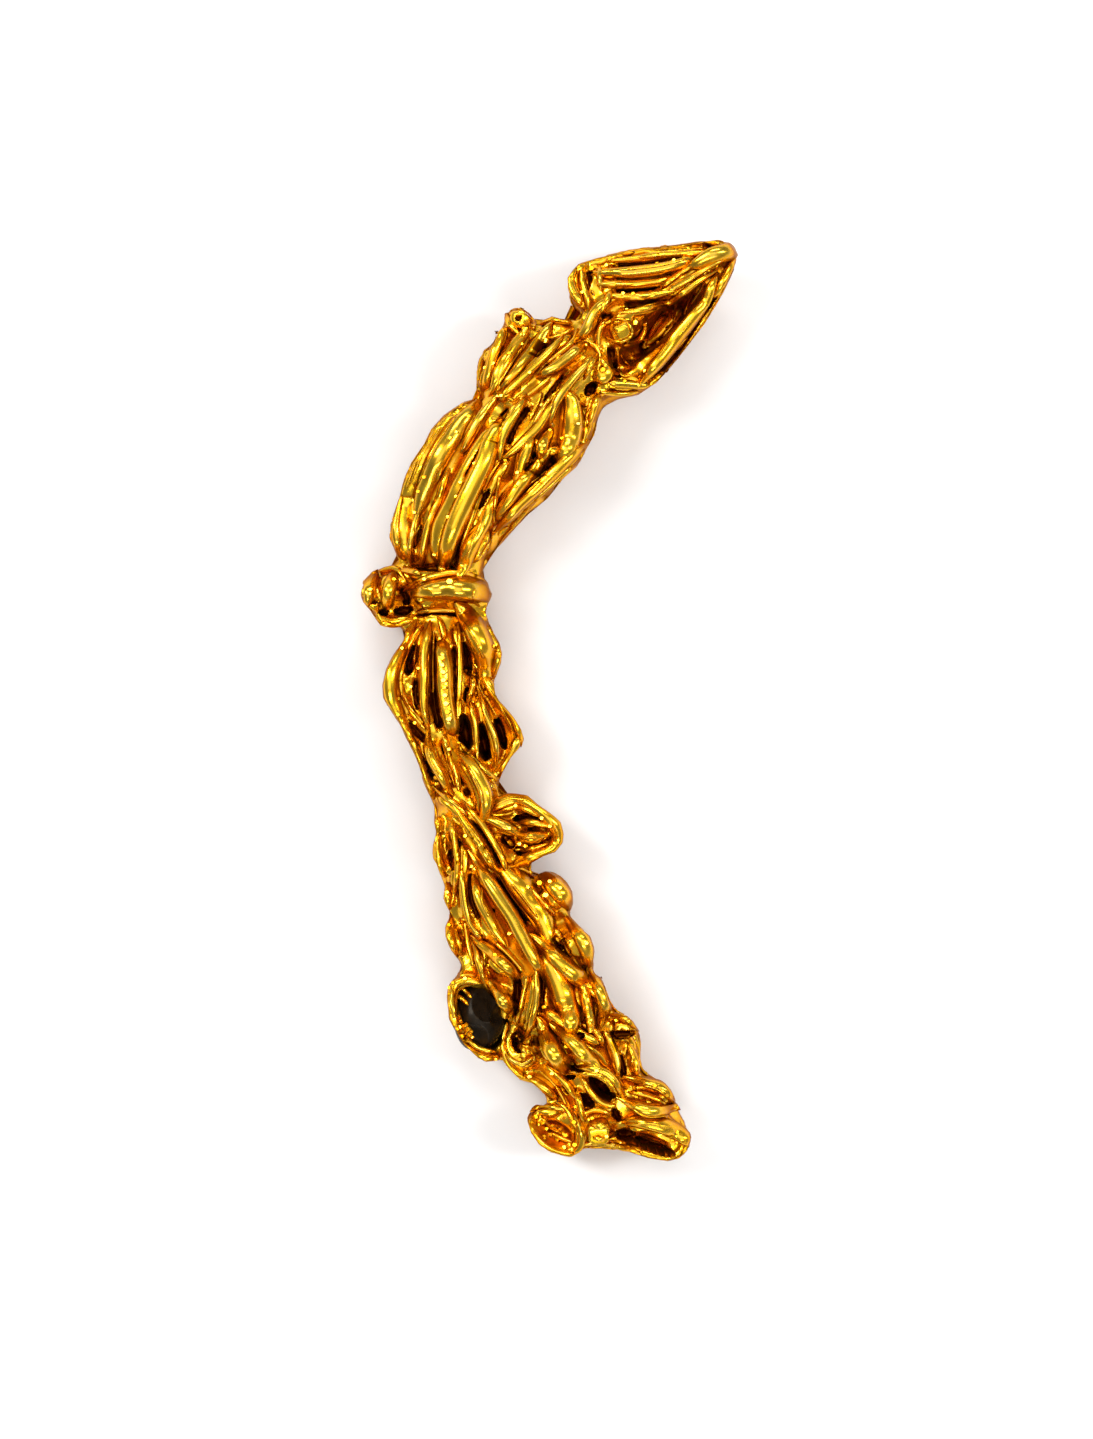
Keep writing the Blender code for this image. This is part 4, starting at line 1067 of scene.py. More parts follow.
@dataclass
class Crown(Region):
    """The pointed crown: a hollow cone of ribs that meet at a blunt tip."""

    name: str = "crown_ribs"
    heavy: Strands = (
        strand(0.3, 18.3, 45.75, 16.6, 45.72, 14.8, 45.5, 13, 45.15, 11.4, 44.75),
        strand(0.3, 17.2, 44.85, 15.6, 44.55, 14, 44.4, 12.5, 44.2),
        strand(0.34, 18.3, 45.2, 17, 44.55, 16, 43.85, 15, 43.3),
        plate(0.34, 17.6, 44.2, 16.2, 43.5, 14.8, 43, 13.4, 42.95, 12.3, 43.1),
        strand(0.28, 16, 42.95, 14.8, 42.55, 13.5, 42.2, 12.7, 41.8),
        strand(0.3, 18.7, 45.1, 18.05, 43.6, 17.05, 41.9, 15.85, 40.3, 14.9, 39.2, 14.2, 38.7),
        plate(0.36, 17.8, 44.1, 17.1, 42.95, 16.1, 41.5, 14.95, 40.05, 14.05, 39.1),
        strand(0.38, 11.4, 44.7, 10.8, 44.3, 10.8, 43.6, 11.1, 42.9, 11.45, 42.4),
        strand(0.34, 11, 41, 11.6, 41.6, 12.05, 42.5, 12.8, 42.95), strand(0.3, 14.1, 38.8, 13.3, 38.7, 12.5, 38.65),
    )
    knobs: tuple[Knob, ...] = (
        Knob(12.2, 39.4, 0.62, 0.75, 0.55), Knob(11.3, 42, 0.26, 0.34, 0.3), Knob(18.25, 45.5, 0.5, 0.45, 0.5),
    )
    cubes: tuple[Cube, ...] = (Cube(13.1, 41.35, 0.38, 20, 35),)
    hollows: tuple[Hollow, ...] = (
        Hollow(15.3, 41.85, 2.1, 0.55, 46, 0.9), Hollow(13.8, 40.5, 1, 0.6, 40, 0.8),
        Hollow(12.4, 42.1, 0.26, 0.14, 20, 0.4), Hollow(11.5, 43.9, 0.6, 0.18, 80, 0.5),
    )
    grooves: tuple[Groove, ...] = (
        groove(0.07, 0.5, 12.8, 44.74, 14.5, 44.86, 16.5, 44.98, 17.4, 45.05),
        groove(0.08, 0.4, 14.4, 45.5, 17, 45.56, 17.7, 45.35), groove(0.08, 0.5, 12.8, 43.42, 14.5, 43.58, 15, 43.75),
        groove(0.12, 0.9, 17.2, 42.6, 16.5, 41.4, 15.7, 40.2, 14.6, 39),
        groove(0.18, 0.8, 17.8, 43.35, 17.4, 42.9, 17.1, 42.4), groove(0.08, 0.5, 18.45, 44.1, 18.1, 43.5),
        groove(0.08, 0.5, 17.9, 45.85, 18.4, 45.75), groove(0.12, 0.6, 15.8, 42.9, 14.6, 42.7, 13.2, 42.6),
        groove(0.12, 0.6, 12.6, 40.7, 12.7, 39.9, 13, 39.3),
    )
    broad: Strands = (
        strand(0.24, 18.2, 45.95, 16.5, 45.82, 14.8, 45.6, 13.2, 45.3, 11.8, 44.98, 10.9, 44.6, lift=0.3),
        leaf(0.34, 17.6, 45.3, 15.9, 45.22, 14.5, 45.16, 12.4, 44.93),
        leaf(0.5, 17, 44.95, 15.2, 44.55, 13.8, 44.38, 11.7, 44.2, lift=0.6),
        leaf(0.38, 15.8, 43.95, 13.8, 43.74, 11.9, 43.64, lift=0.6),
        blade(0.2, 17.9, 45.35, 17.1, 44.95, 16.2, 44.3, 15, 43.4, lift=1.1),
        blade(0.18, 18.2, 45, 17.3, 44.5, 16.4, 43.9, 15.4, 43.3, lift=1.2),
        leaf(0.32, 15.9, 43.4, 14.7, 43.1, 13.5, 43, 12.3, 43.1, lift=0.4),
        leaf(0.3, 18, 44.5, 16.9, 43.8, 15.9, 43.15, 15, 42.65, 14, 42.35, 13, 42.15, lift=0.9),
        leaf(0.7, 19.2, 46, 18.25, 45.4, 17.5, 45.05, 16.3, 44.5, lift=0.9),
        leaf(0.36, 18.75, 45.3, 18.35, 44.3, 17.85, 43.4, 17.3, 42.5, lift=0.4),
        leaf(0.55, 17.9, 44.3, 16.9, 42.6, 16, 41.4, 15.1, 40.2, 13.9, 38.7, lift=0.85),
        strand(0.2, 18.1, 43.2, 17.2, 41.8, 16.3, 40.5, 15.4, 39.5, 14.5, 38.75),
        strand(0.24, 11.5, 44.9, 10.85, 44.5, 10.6, 43.9, 10.75, 43.3, 11.15, 42.6),
        leaf(0.28, 11.1, 44.4, 11.1, 43.7, 11.3, 43, 11.55, 42.3), leaf(0.26, 12, 44.7, 12, 44, 12.1, 43.3),
        strand(0.28, 10.8, 40.8, 11.4, 41.4, 11.8, 42.2, 12.35, 42.85, lift=0.6),
        leaf(0.3, 12, 40.4, 12.1, 41.3, 12.6, 42.1, lift=0.4), leaf(0.26, 14.3, 41.9, 14, 41.2, 13.2, 40.7, lift=0.9),
        strand(0.24, 14.5, 38.75, 13.5, 38.78, 12.5, 38.8), leaf(0.26, 14, 38.5, 13, 38.42, 12.1, 38.35, lift=0.3),
        leaf(0.3, 13.2, 39.4, 12.5, 39.5, 12, 40.1, lift=0.4), leaf(0.3, 12.6, 43.3, 12.3, 42.7, 12, 42.2, lift=0.8),
        leaf(0.34, 15.4, 42.5, 14.8, 41.9, 14.5, 41.2, lift=0.1),
    )
    fine: Strands = (
        blade(0.08, 14, 45.02, 15, 45.08, 16.2, 45.12), blade(0.09, 11.3, 44.3, 11.5, 43.6, 11.8, 43.1),
        blade(0.09, 12.75, 43.2, 12.8, 43.6, 12.85, 43.95), blade(0.08, 15.85, 42.8, 15.8, 42.1),
        blade(0.09, 16.7, 43.45, 16.5, 42.9, 16.3, 42.3), blade(0.09, 17.25, 43.8, 16.9, 43.2, 16.6, 42.7),
        strand(0.08, 12.9, 40.6, 12.95, 40, 13.05, 39.4, 13.3, 39.2, 13.7, 39.3),
        strand(0.07, 13.1, 40.3, 13.6, 39.7),
        strand(0.1, 12.3, 41.7, 13, 41.9, 13.55, 41.5, 13.55, 41.1, 13, 40.8, 12.3, 41.1),
        blade(0.07, 16.2, 43.55, 15.4, 43, 14.6, 42.62, 13.8, 42.42),
        strand(0.07, 16, 44.75, 14.8, 44.5, 13.4, 44.35),
    )
    small: tuple[Bead, ...] = (
        *beads(0.075, 14.9, 44.7, 15.7, 44.8, 13.2, 43.15, 13.7, 43.15, 15.3, 45.7, 15.6, 45.72, 16.6, 45.85, 14.3,
               41.75, 15, 41, 13.7, 40.4, 13.4, 40.85, 13.4, 42.4, 12.55, 44.95, 12.9, 45.1, 12.4, 44.7, 12.9, 44.7,
               10.8, 43.2, 11.2, 43.25, 11.75, 39.5, 11.75, 39.1, 12, 38.4, 14.3, 39.4, 13.3, 38.9, 16.2, 44.9),
        *beads(0.12, 13.8, 41.75, 15.55, 41.8, 11.65, 44.5, 12.2, 39.4),
    )


@dataclass
class Shoulder(Region):
    """The knobs and blades between the crown and the torso."""

    name: str = "shoulder_blades"
    heavy: Strands = (
        strand(0.34, 7.45, 41.6, 6.9, 40.4, 6.5, 39.3, 6.2, 38.5),
        strand(0.3, 8.6, 41.2, 7.9, 40.2, 7.2, 39.1, 6.7, 38.2),
        strand(0.32, 10.7, 41.2, 9.7, 40.4, 8.7, 39.5, 7.8, 38.6, 7.1, 37.8),
        plate(0.4, 11.4, 40.6, 10.6, 39.95, 9.7, 39.4, 9.1, 39.1),
        strand(0.34, 11.9, 40.2, 11.3, 39.55, 10.6, 38.85, 10, 38.1, 9.6, 37.1),
        strand(0.3, 12.1, 38.3, 11.75, 37.6, 11.5, 36.8, 11.15, 35.9),
    )
    knobs: tuple[Knob, ...] = (
        Knob(8.15, 42.05, 0.66, 0.66, 0.6), Knob(6.5, 40.2, 0.42, 0.46, 0.4), Knob(6.2, 39.4, 0.38, 0.44, 0.4),
        Knob(6.95, 41.15, 0.4, 0.46, 0.4), Knob(10.35, 40.75, 0.38, 0.34, 0.35),
    )
    hollows: tuple[Hollow, ...] = (
        Hollow(8.05, 42, 0.2, 0.14, 30, 0.4), Hollow(11.6, 38.5, 0.4, 0.24, 45, 0.9),
        Hollow(9.15, 40.2, 0.3, 0.12, 40, 0.6),
    )
    grooves: tuple[Groove, ...] = (
        groove(0.1, 0.5, 9.4, 42.25, 10.4, 42.1), groove(0.09, 0.6, 10.4, 39.2, 9.8, 38.5, 9.3, 37.7),
    )
    broad: Strands = (
        leaf(0.3, 7.4, 42.4, 7.6, 41.7, 8.2, 41), plate(0.32, 9.1, 41.75, 9.9, 41.88, 10.7, 41.75, lift=0.9),
        leaf(0.7, 9.7, 41.8, 8.5, 40.4, 7.2, 38.5, lift=0.3), leaf(0.55, 8.4, 41.6, 7.5, 40.2, 6.7, 38.5, lift=0.3),
        strand(0.12, 9.3, 40.95, 10.2, 41.2, 10.8, 41.55, lift=0.9),
        leaf(0.32, 11, 41.5, 10.7, 40.9, 10.2, 40.4, 9.4, 39.8),
        leaf(0.44, 11.4, 40.8, 10.5, 40, 9.8, 39.5, 8.9, 39, lift=0.65),
        leaf(0.36, 11.6, 39.9, 10.8, 39.1, 10.1, 38.2, 9.7, 37.4, 9.5, 36.6, lift=0.95),
        strand(0.26, 7.3, 41.5, 6.9, 40.4, 6.6, 39.4, 6.35, 38.5, lift=0.3),
        leaf(0.32, 8.6, 41.4, 7.8, 40.4, 7.2, 39.3, 6.6, 38.1, lift=0.6),
        leaf(0.36, 10.3, 41.1, 9.4, 40.2, 8.4, 39.2, 7.3, 38.1, lift=0.45),
        leaf(0.24, 9.6, 39.1, 8.8, 38.4, 8.1, 37.9),
        strand(0.13, 11.5, 40.8, 11.9, 40.5, 12.05, 40, 11.95, 39.4, lift=0.9),
        leaf(0.22, 12, 40.3, 11.5, 39.6, 11.2, 38.9, lift=0.6),
        leaf(0.28, 6.9, 41.4, 6.45, 40.6, 6.15, 39.8, 6.1, 38.9, lift=0.4),
        leaf(0.3, 12, 38.2, 11.7, 37.5, 11.5, 36.7, lift=0.4),
    )
    fine: Strands = (
        strand(0.12, 7.6, 42.5, 8.1, 42.66, 8.6, 42.4, 8.8, 41.9, 8.75, 41.5),
        blade(0.09, 10.1, 40.1, 9.6, 39.65, 9.5, 39.2), blade(0.08, 10.6, 39.3, 10.2, 38.8, 9.9, 38.3),
        strand(0.07, 8.3, 40.7, 7.6, 39.6, 7, 38.6),
    )
    small: tuple[Bead, ...] = (
        *beads(0.075, 11.35, 40.6, 11.25, 40.3, 12.2, 39.8, 11.5, 38.3, 11.15, 38.15, 8.6, 39.2, 8.2, 40.7, 7.6,
               40.2, 7, 38.1, 6.8, 39.7, 6.4, 39.5, 8.3, 41.5, 6.2, 40.6), *beads(0.13, 9.35, 40.9, 11.1, 40.75),
    )


@dataclass
class Torso(Region):
    """The sheaf of strands and leaves that narrows from the shoulder to the waist."""

    name: str = "torso_strands"
    heavy: Strands = (
        strand(0.55, 5.9, 37.7, 4.6, 36.9, 3.65, 35.6, 2.9, 34.2, 2.5, 32.6, 2.5, 31.1, 2.7, 30),
        strand(0.7, 6.9, 36.5, 5.9, 34.8, 5, 33, 4.3, 31.4, 4, 29.8),
        strand(0.3, 7.6, 35, 6.8, 33.8, 6.2, 32.6, 5.6, 31.3, 5.1, 30, 4.9, 29.5),
        plate(0.56, 6.55, 31.7, 6.1, 30.8, 5.6, 29.9),
        strand(0.4, 11.1, 35.6, 10.15, 34.6, 9.05, 33.6, 8, 32.7, 7.1, 31.8),
        strand(0.4, 9.4, 34.8, 8.4, 33.9, 7.5, 33, 7, 32), strand(0.38, 8.2, 37.8, 7.5, 36.9, 7.1, 36, 7.2, 35.4),
        strand(0.34, 10.4, 35.6, 9.7, 35.4, 9.1, 35.6, 8.8, 36.1),
    )
    hollows: tuple[Hollow, ...] = (
        Hollow(7.25, 37, 0.6, 0.18, 62, 0.8), Hollow(8.95, 35.1, 0.28, 0.18, -35, 0.6),
        Hollow(11.3, 36.8, 0.2, 0.14, 85, 0.5), Hollow(8.7, 34.25, 0.36, 0.15, 80, 0.7),
        Hollow(6.35, 33, 0.6, 0.14, 62, 0.7), Hollow(3.05, 31.2, 0.7, 0.09, 72, 0.5),
    )
    grooves: tuple[Groove, ...] = (
        groove(0.09, 0.6, 7, 36.6, 6.2, 35.3, 5.4, 34), groove(0.1, 0.6, 5.7, 32.9, 5.2, 31.4, 4.85, 30),
        groove(0.09, 0.6, 8.6, 37.6, 7.9, 36.6, 7.5, 35.6), groove(0.09, 0.5, 10.3, 37.6, 11.1, 37.4),
        groove(0.09, 0.5, 9.9, 35.1, 8.7, 34), groove(0.08, 0.5, 4.3, 33.6, 3.8, 32.2),
    )
    broad: Strands = (
        strand(0.24, 6, 38, 4.5, 37.2, 3.3, 35.8, 2.5, 34.2, 2.05, 32.6, 2, 31.2, 2.3, 30.1, lift=0.2),
        leaf(0.95, 6.3, 38.1, 4.8, 36.6, 3.7, 34.8, 2.9, 32, lift=0.45),
        leaf(0.28, 3.6, 33.9, 3, 32.4, 2.6, 31, 2.65, 29.8, lift=0.6),
        leaf(0.36, 4.6, 34.6, 3.9, 32.9, 3.4, 31.2, 3.2, 29.7),
        leaf(0.85, 7.3, 37.2, 6.2, 34.9, 5.2, 32.9, 4.5, 31.2, 4.1, 29),
        leaf(0.34, 5.9, 34.3, 5.2, 32.6, 4.6, 31, 4.3, 29.5, lift=0.95),
        leaf(0.2, 7.1, 34.8, 6.35, 33.6, 5.85, 32.3, 5.35, 31, 5.05, 29.6, lift=1.3),
        leaf(0.75, 5, 28.9, 5.75, 30.4, 6.25, 31.5, 6.8, 33.2, lift=0.8),
        strand(0.13, 7.1, 34.2, 6.9, 33, 6.8, 31.9, lift=1.2),
        leaf(0.46, 11.5, 36.1, 10.2, 34.8, 9, 33.7, 8, 32.8, 6.7, 31.4, lift=0.4),
        leaf(0.5, 9.6, 35.5, 8.6, 34.4, 7.8, 33.4, 7, 32.2, lift=0.35),
        strand(0.16, 11.2, 35.2, 10, 34.1, 8.8, 33, 7.6, 31.7, lift=0.2),
        leaf(0.4, 8.5, 38.2, 7.7, 37.1, 7.15, 36, 7.1, 34.9, lift=0.95),
        plate(0.14, 9.2, 38.3, 8.9, 37.6, 8.6, 36.9, lift=0.9),
        leaf(0.24, 10.1, 38.4, 9.3, 37.5, 8.7, 36.6, lift=0.8), leaf(0.42, 9.9, 37.9, 8.9, 36.6, 8.2, 35.9, 7.3, 35),
        leaf(1, 10.4, 38.4, 10.4, 36.7, 10.1, 34.8, lift=0.35),
        strand(0.14, 11.7, 38, 11.4, 37, 11.25, 36, 10.3, 35, lift=0.9),
        leaf(0.5, 9.7, 36.6, 9.1, 35.6, 9.4, 34.6, lift=0.7), leaf(0.44, 7, 38.1, 6, 36.9, 5.2, 35.3, lift=0.6),
        leaf(0.55, 8.7, 36.2, 8.1, 35, 7.9, 33.6, lift=0.6),
    )
    fine: Strands = (
        blade(0.09, 4.95, 36, 4.4, 34.9, 4, 33.9), blade(0.05, 4.6, 36.6, 3.7, 35.2, 3.1, 33.8),
        blade(0.05, 5, 37.1, 4.1, 35.9, 3.4, 34.5), blade(0.05, 4.2, 36.6, 3.3, 35.2, 2.7, 33.8),
        blade(0.05, 3.9, 36.4, 3.1, 35.1, 2.5, 33.6), strand(0.07, 5.4, 29.9, 5.8, 30.9, 6.2, 31.9),
        strand(0.07, 6, 30, 6.5, 30.8, 6.8, 31.6), blade(0.07, 10.4, 35.1, 9.4, 34.2, 8.4, 33.3),
        blade(0.08, 8.2, 37.7, 7.5, 36.6, 7.2, 35.5), strand(0.1, 11.9, 38, 11.6, 37.5, 11.4, 37.1, 11.6, 36.6),
        blade(0.1, 10.2, 37.9, 10.8, 37.85, 11.4, 37.6), blade(0.06, 6.6, 35.8, 5.9, 34.4),
        blade(0.07, 5.9, 37.2, 5.5, 36.5, 5.2, 35.8), blade(0.07, 3.3, 33, 2.95, 31.8, 2.9, 30.8),
        blade(0.06, 10.6, 37.5, 10.75, 36.6, 10.6, 35.8), blade(0.07, 7.7, 34, 8.5, 34.7, 9.1, 35.2),
    )
    small: tuple[Bead, ...] = beads(
        0.075, 5.6, 37.1, 6.7, 36, 5.9, 34.7, 5.2, 33.8, 5, 33.1, 3.1, 33.4, 3.4, 34.1, 4.6, 32.1, 7.4, 34.9, 8, 34.3,
        7.9, 33.6, 6.4, 34, 9.2, 35.3, 9.2, 34.9, 11, 36.7, 11.4, 36, 10.9, 35.6, 6, 32.1, 8.6, 37.2, 7.2, 38.1, 5,
        36.3, 4.7, 36, 2.9, 32.4, 6.8, 31.4, 6.5, 30.6, 3.9, 30.3, 9.6, 36.4, 10.2, 36,
    )


@dataclass
class Waist(Region):
    """The collar round the waist and the knob on its left."""

    name: str = "waist_knot"
    heavy: Strands = (
        strand(0.58, 2.9, 28.2, 3.8, 28.5, 4.9, 28.5, 5.9, 28.4),
        strand(0.38, 2.5, 29.4, 3.6, 29.2, 4.8, 29.3, 5.7, 29.1), strand(0.45, 0.75, 28.9, 0.7, 28.1, 1.1, 27.5),
        strand(0.42, 1.5, 29.3, 1.5, 28.4, 1.5, 27.9), strand(0.28, 0.95, 27.5, 1.5, 27.05, 2.4, 27.15, 3, 26.9),
    )
    knobs: tuple[Knob, ...] = (
        Knob(1.5, 28.4, 0.45, 0.42, 0.5), Knob(0.6, 28.5, 0.5, 0.55, 0.5), Knob(6, 28.4, 0.5, 0.55, 0.5),
    )
    cubes: tuple[Cube, ...] = (Cube(3.45, 28.3, 0.46, 40, 35),)
    hollows: tuple[Hollow, ...] = (
        Hollow(0.9, 28, 0.2, 0.12, 0, 0.5), Hollow(1.35, 27.5, 0.25, 0.14, 20, 0.6),
        Hollow(2.3, 27.6, 0.5, 0.18, 10, 0.8),
    )
    grooves: tuple[Groove, ...] = (
        groove(0.1, 0.6, 4.15, 29, 4.3, 28.6, 4.1, 28.1), groove(0.1, 0.6, 2.1, 28.8, 2.4, 28.3, 2.5, 27.8),
        groove(0.1, 0.6, 2.9, 27.4, 4, 27.55, 5.4, 27.4), groove(0.1, 0.5, 2.4, 29.75, 3.6, 29.7, 5, 29.6),
    )
    broad: Strands = (
        leaf(0.95, 2.9, 28.3, 4.4, 28.45, 5.8, 28.35, 7.4, 28.2, lift=0.6),
        leaf(0.3, 2.3, 28.6, 3.6, 29.1, 5, 29.35, 6.4, 29.05, lift=0.8), leaf(0.26, 2.9, 27.5, 4.2, 27.65, 5.6, 27.6),
        plate(0.32, 2.2, 29.55, 3.2, 29.35, lift=1.1), plate(0.22, 1.7, 28.2, 2.25, 28.15, lift=1.2),
        leaf(0.4, 2.7, 28.4, 3.4, 28.3, 4.1, 28.5, lift=0.7),
        strand(0.18, 0.5, 27.9, 1, 27.15, 1.8, 26.9, 2.7, 27.1, lift=0.6),
        leaf(0.55, 0.9, 29.8, 0.6, 28.8, 0.6, 27.8, lift=0.4), leaf(0.55, 1.8, 29.5, 1.5, 28.6, 1.4, 27.5, lift=0.7),
        leaf(0.26, 1.1, 29.5, 1.9, 29.6, 2.4, 29.1, lift=0.4), leaf(0.24, 2.4, 28.8, 3, 28.7, 3.5, 28.9, lift=0.6),
    )
    fine: Strands = (
        strand(0.08, 5.9, 28.6, 5.8, 28.1, 6.1, 27.8), strand(0.1, 0.3, 28.9, 0.5, 29.3, 0.95, 29.5),
        blade(0.08, 3.2, 28.7, 3.7, 28.5, 4, 28.1),
    )
    small: tuple[Bead, ...] = (
        *beads(0.08, 0.75, 28.6, 1.9, 29.1, 0.9, 28.1, 2.9, 27.2, 2, 28.5, 3.4, 29.1), *beads(0.14, 4.7, 28.95),
    )


@dataclass
class Cage(Region):
    """The leaves and ribs below the waist, with dark openings on the right."""

    name: str = "cage_leaves"
    heavy: Strands = (
        strand(0.36, 2.9, 26.7, 2.25, 25.6, 1.75, 24.5, 1.6, 23.5, 1.9, 22.6, 2.45, 21.6, 2.95, 20.6, 3.35, 19.5,
               3.8, 18.3), strand(0.32, 3.6, 26.8, 3.35, 25.6, 3.3, 24.3, 3.3, 23, 3.5, 21.9),
        gutter(0.46, 4.2, 25.9, 4.4, 24.6, 4.4, 23.3, 4.6, 22.2, 4.85, 21.5),
        strand(0.26, 4.9, 26.9, 5.05, 25.4, 5, 23.8, 5.05, 22.4, 5, 21.2), plate(0.5, 5.4, 27, 5.9, 26.1, 6.3, 25.2),
        strand(0.36, 6.3, 26.9, 6.75, 26, 6.8, 25.2, 6.5, 24.3),
        strand(0.3, 6.2, 24.2, 6.9, 23.1, 7.55, 22.2, 7.9, 21.3, 7.5, 20.3, 6.9, 19.4),
        strand(0.26, 6, 23.3, 6.4, 22.1, 6.8, 21, 6.8, 20), strand(0.26, 5.6, 23.1, 5.85, 21.8, 5.9, 20.5),
        strand(0.4, 3.7, 21.2, 3.8, 20.3, 4.2, 19.5, 4.7, 18.8), strand(0.28, 5, 21, 5.8, 20.1, 6.5, 19.4, 6.85, 19),
        plate(0.44, 5.1, 20.1, 5.8, 19.2, 6.15, 18.2, 6, 17.3), strand(0.3, 4, 18.4, 4.8, 17.8, 5.4, 17.2),
    )
    hollows: tuple[Hollow, ...] = (
        Hollow(2.72, 25.1, 0.85, 0.24, 76, 0.9), Hollow(5.45, 25.2, 0.9, 0.22, -80, 0.9),
        Hollow(5.38, 21.5, 1, 0.3, -86, 1.3), Hollow(6.32, 21.1, 1, 0.24, -82, 1.3),
        Hollow(7.15, 21.5, 0.9, 0.22, -74, 1.1), Hollow(5.5, 23.4, 0.4, 0.16, 80, 0.6),
        Hollow(2.1, 24, 0.4, 0.08, 70, 0.4),
    )
    grooves: tuple[Groove, ...] = (
        groove(0.1, 0.8, 3.45, 20.3, 3.75, 19.2), groove(0.1, 0.6, 5.3, 18.9, 5.6, 18.3),
        groove(0.1, 0.7, 2.95, 24.2, 2.95, 23.4, 3.1, 22.6),
        groove(0.1, 0.7, 3.85, 26.4, 3.8, 25, 3.85, 23.2, 4.1, 21.7),
        groove(0.08, 0.6, 4.85, 25.9, 4.8, 24, 4.9, 22.4), groove(0.09, 0.6, 4.3, 21, 4.7, 19.9, 5.2, 18.9),
        groove(0.09, 0.6, 2.5, 22.1, 3.1, 21.5, 3.5, 21),
    )
    broad: Strands = (
        leaf(0.62, 2.9, 27.1, 2.1, 25.6, 1.65, 24.5, 1.6, 23.4, 2, 22.3, 2.8, 20.9, lift=0.4),
        strand(0.24, 2.4, 21.7, 3, 20.5, 3.35, 19.5, 3.8, 18.2),
        strand(0.17, 3.3, 26.9, 2.6, 25.9, 2.25, 24.9, 2.2, 23.9, 2.35, 23.1, lift=0.6),
        leaf(0.16, 3, 25.9, 2.85, 25.1, 2.95, 24.3),
        leaf(0.38, 3.65, 27.1, 3.35, 25.6, 3.3, 24.2, 3.3, 22.9, 3.6, 21.5, lift=0.7),
        strand(0.08, 3.82, 26.6, 3.76, 25, 3.8, 23.5, lift=1.1),
        gutter(0.46, 4.2, 26.1, 4.35, 24.7, 4.4, 23.5, 4.55, 22.4, 4.85, 21.4, lift=0.7),
        leaf(0.24, 5, 27, 5.1, 25.4, 5.05, 23.9, 5, 22.2, lift=0.6),
        leaf(0.95, 4.9, 28, 5.7, 26.5, 6.2, 25.2, 6.3, 23.8, lift=0.7),
        strand(0.3, 6.6, 26.9, 7, 26, 7, 25.1, 6.7, 24.2, lift=0.3),
        leaf(0.48, 5.8, 25, 6.9, 23.2, 7.7, 22.2, 8.2, 20.7, lift=0.6),
        strand(0.26, 8.05, 21.4, 7.6, 20.3, 7, 19.3, lift=0.5),
        leaf(0.26, 5.9, 23.9, 6.4, 22.3, 6.85, 21, 6.9, 19.7, lift=1.1),
        leaf(0.22, 5.4, 23.6, 5.85, 21.9, 5.95, 20.2, lift=1.1),
        leaf(0.26, 2.2, 23.4, 2.7, 22.6, 3.5, 21.6, lift=0.6),
        leaf(0.4, 3.5, 21.7, 3.65, 20.4, 4.1, 19.5, 4.8, 18.3, lift=0.9),
        leaf(0.42, 4.3, 21.4, 4.6, 19.9, 5.1, 18.6, lift=0.6),
        strand(0.14, 5, 21.1, 5.8, 20.2, 6.5, 19.5, 6.95, 19.1, lift=0.9),
        leaf(0.6, 5, 20.7, 5.9, 19.3, 6.3, 18.2, 6.1, 16.8, lift=0.6), plate(0.26, 6.35, 19, 6.9, 18.65, lift=0.8),
        leaf(0.28, 3.7, 18.9, 4.5, 18.2, 5.5, 17.4), leaf(0.26, 4, 27.3, 4.2, 26.7, 4.3, 26.1, lift=0.6),
        leaf(0.26, 5.6, 24.6, 5.7, 23.9, 5.5, 23),
    )
    fine: Strands = (
        blade(0.08, 2.25, 23.5, 2.7, 22.7, 3.3, 22), blade(0.08, 3.7, 21.2, 3.65, 20.3, 4.1, 19.4),
        blade(0.07, 4.4, 20.6, 4.6, 19.7, 4.9, 18.9), blade(0.07, 5.3, 27, 5.9, 26.1, 6.3, 25.2),
        blade(0.08, 6.4, 23.9, 7.1, 22.9, 7.7, 21.9), strand(0.07, 5.6, 19.8, 6.1, 18.9, 6.3, 18),
    )
    small: tuple[Bead, ...] = (
        *beads(0.11, 4.3, 25.2, 4.3, 24.85, 4.36, 24.5, 4.38, 24.1, 4.4, 23.75, 4.44, 23.35, 4.5, 22.95, 4.58, 22.55,
               4.65, 22.2),
        *beads(0.075, 2.3, 25.7, 2.1, 23.2, 2.7, 23.8, 2.1, 22.4, 5.4, 24.6, 5.8, 24.4, 5.4, 23.9, 5.9, 23.5, 4.6,
               20.7, 3.4, 20.2, 6.8, 25.8, 7.1, 25.3, 3.1, 24.7, 6.9, 22.3, 2.9, 22, 5.4, 22.9),
    )


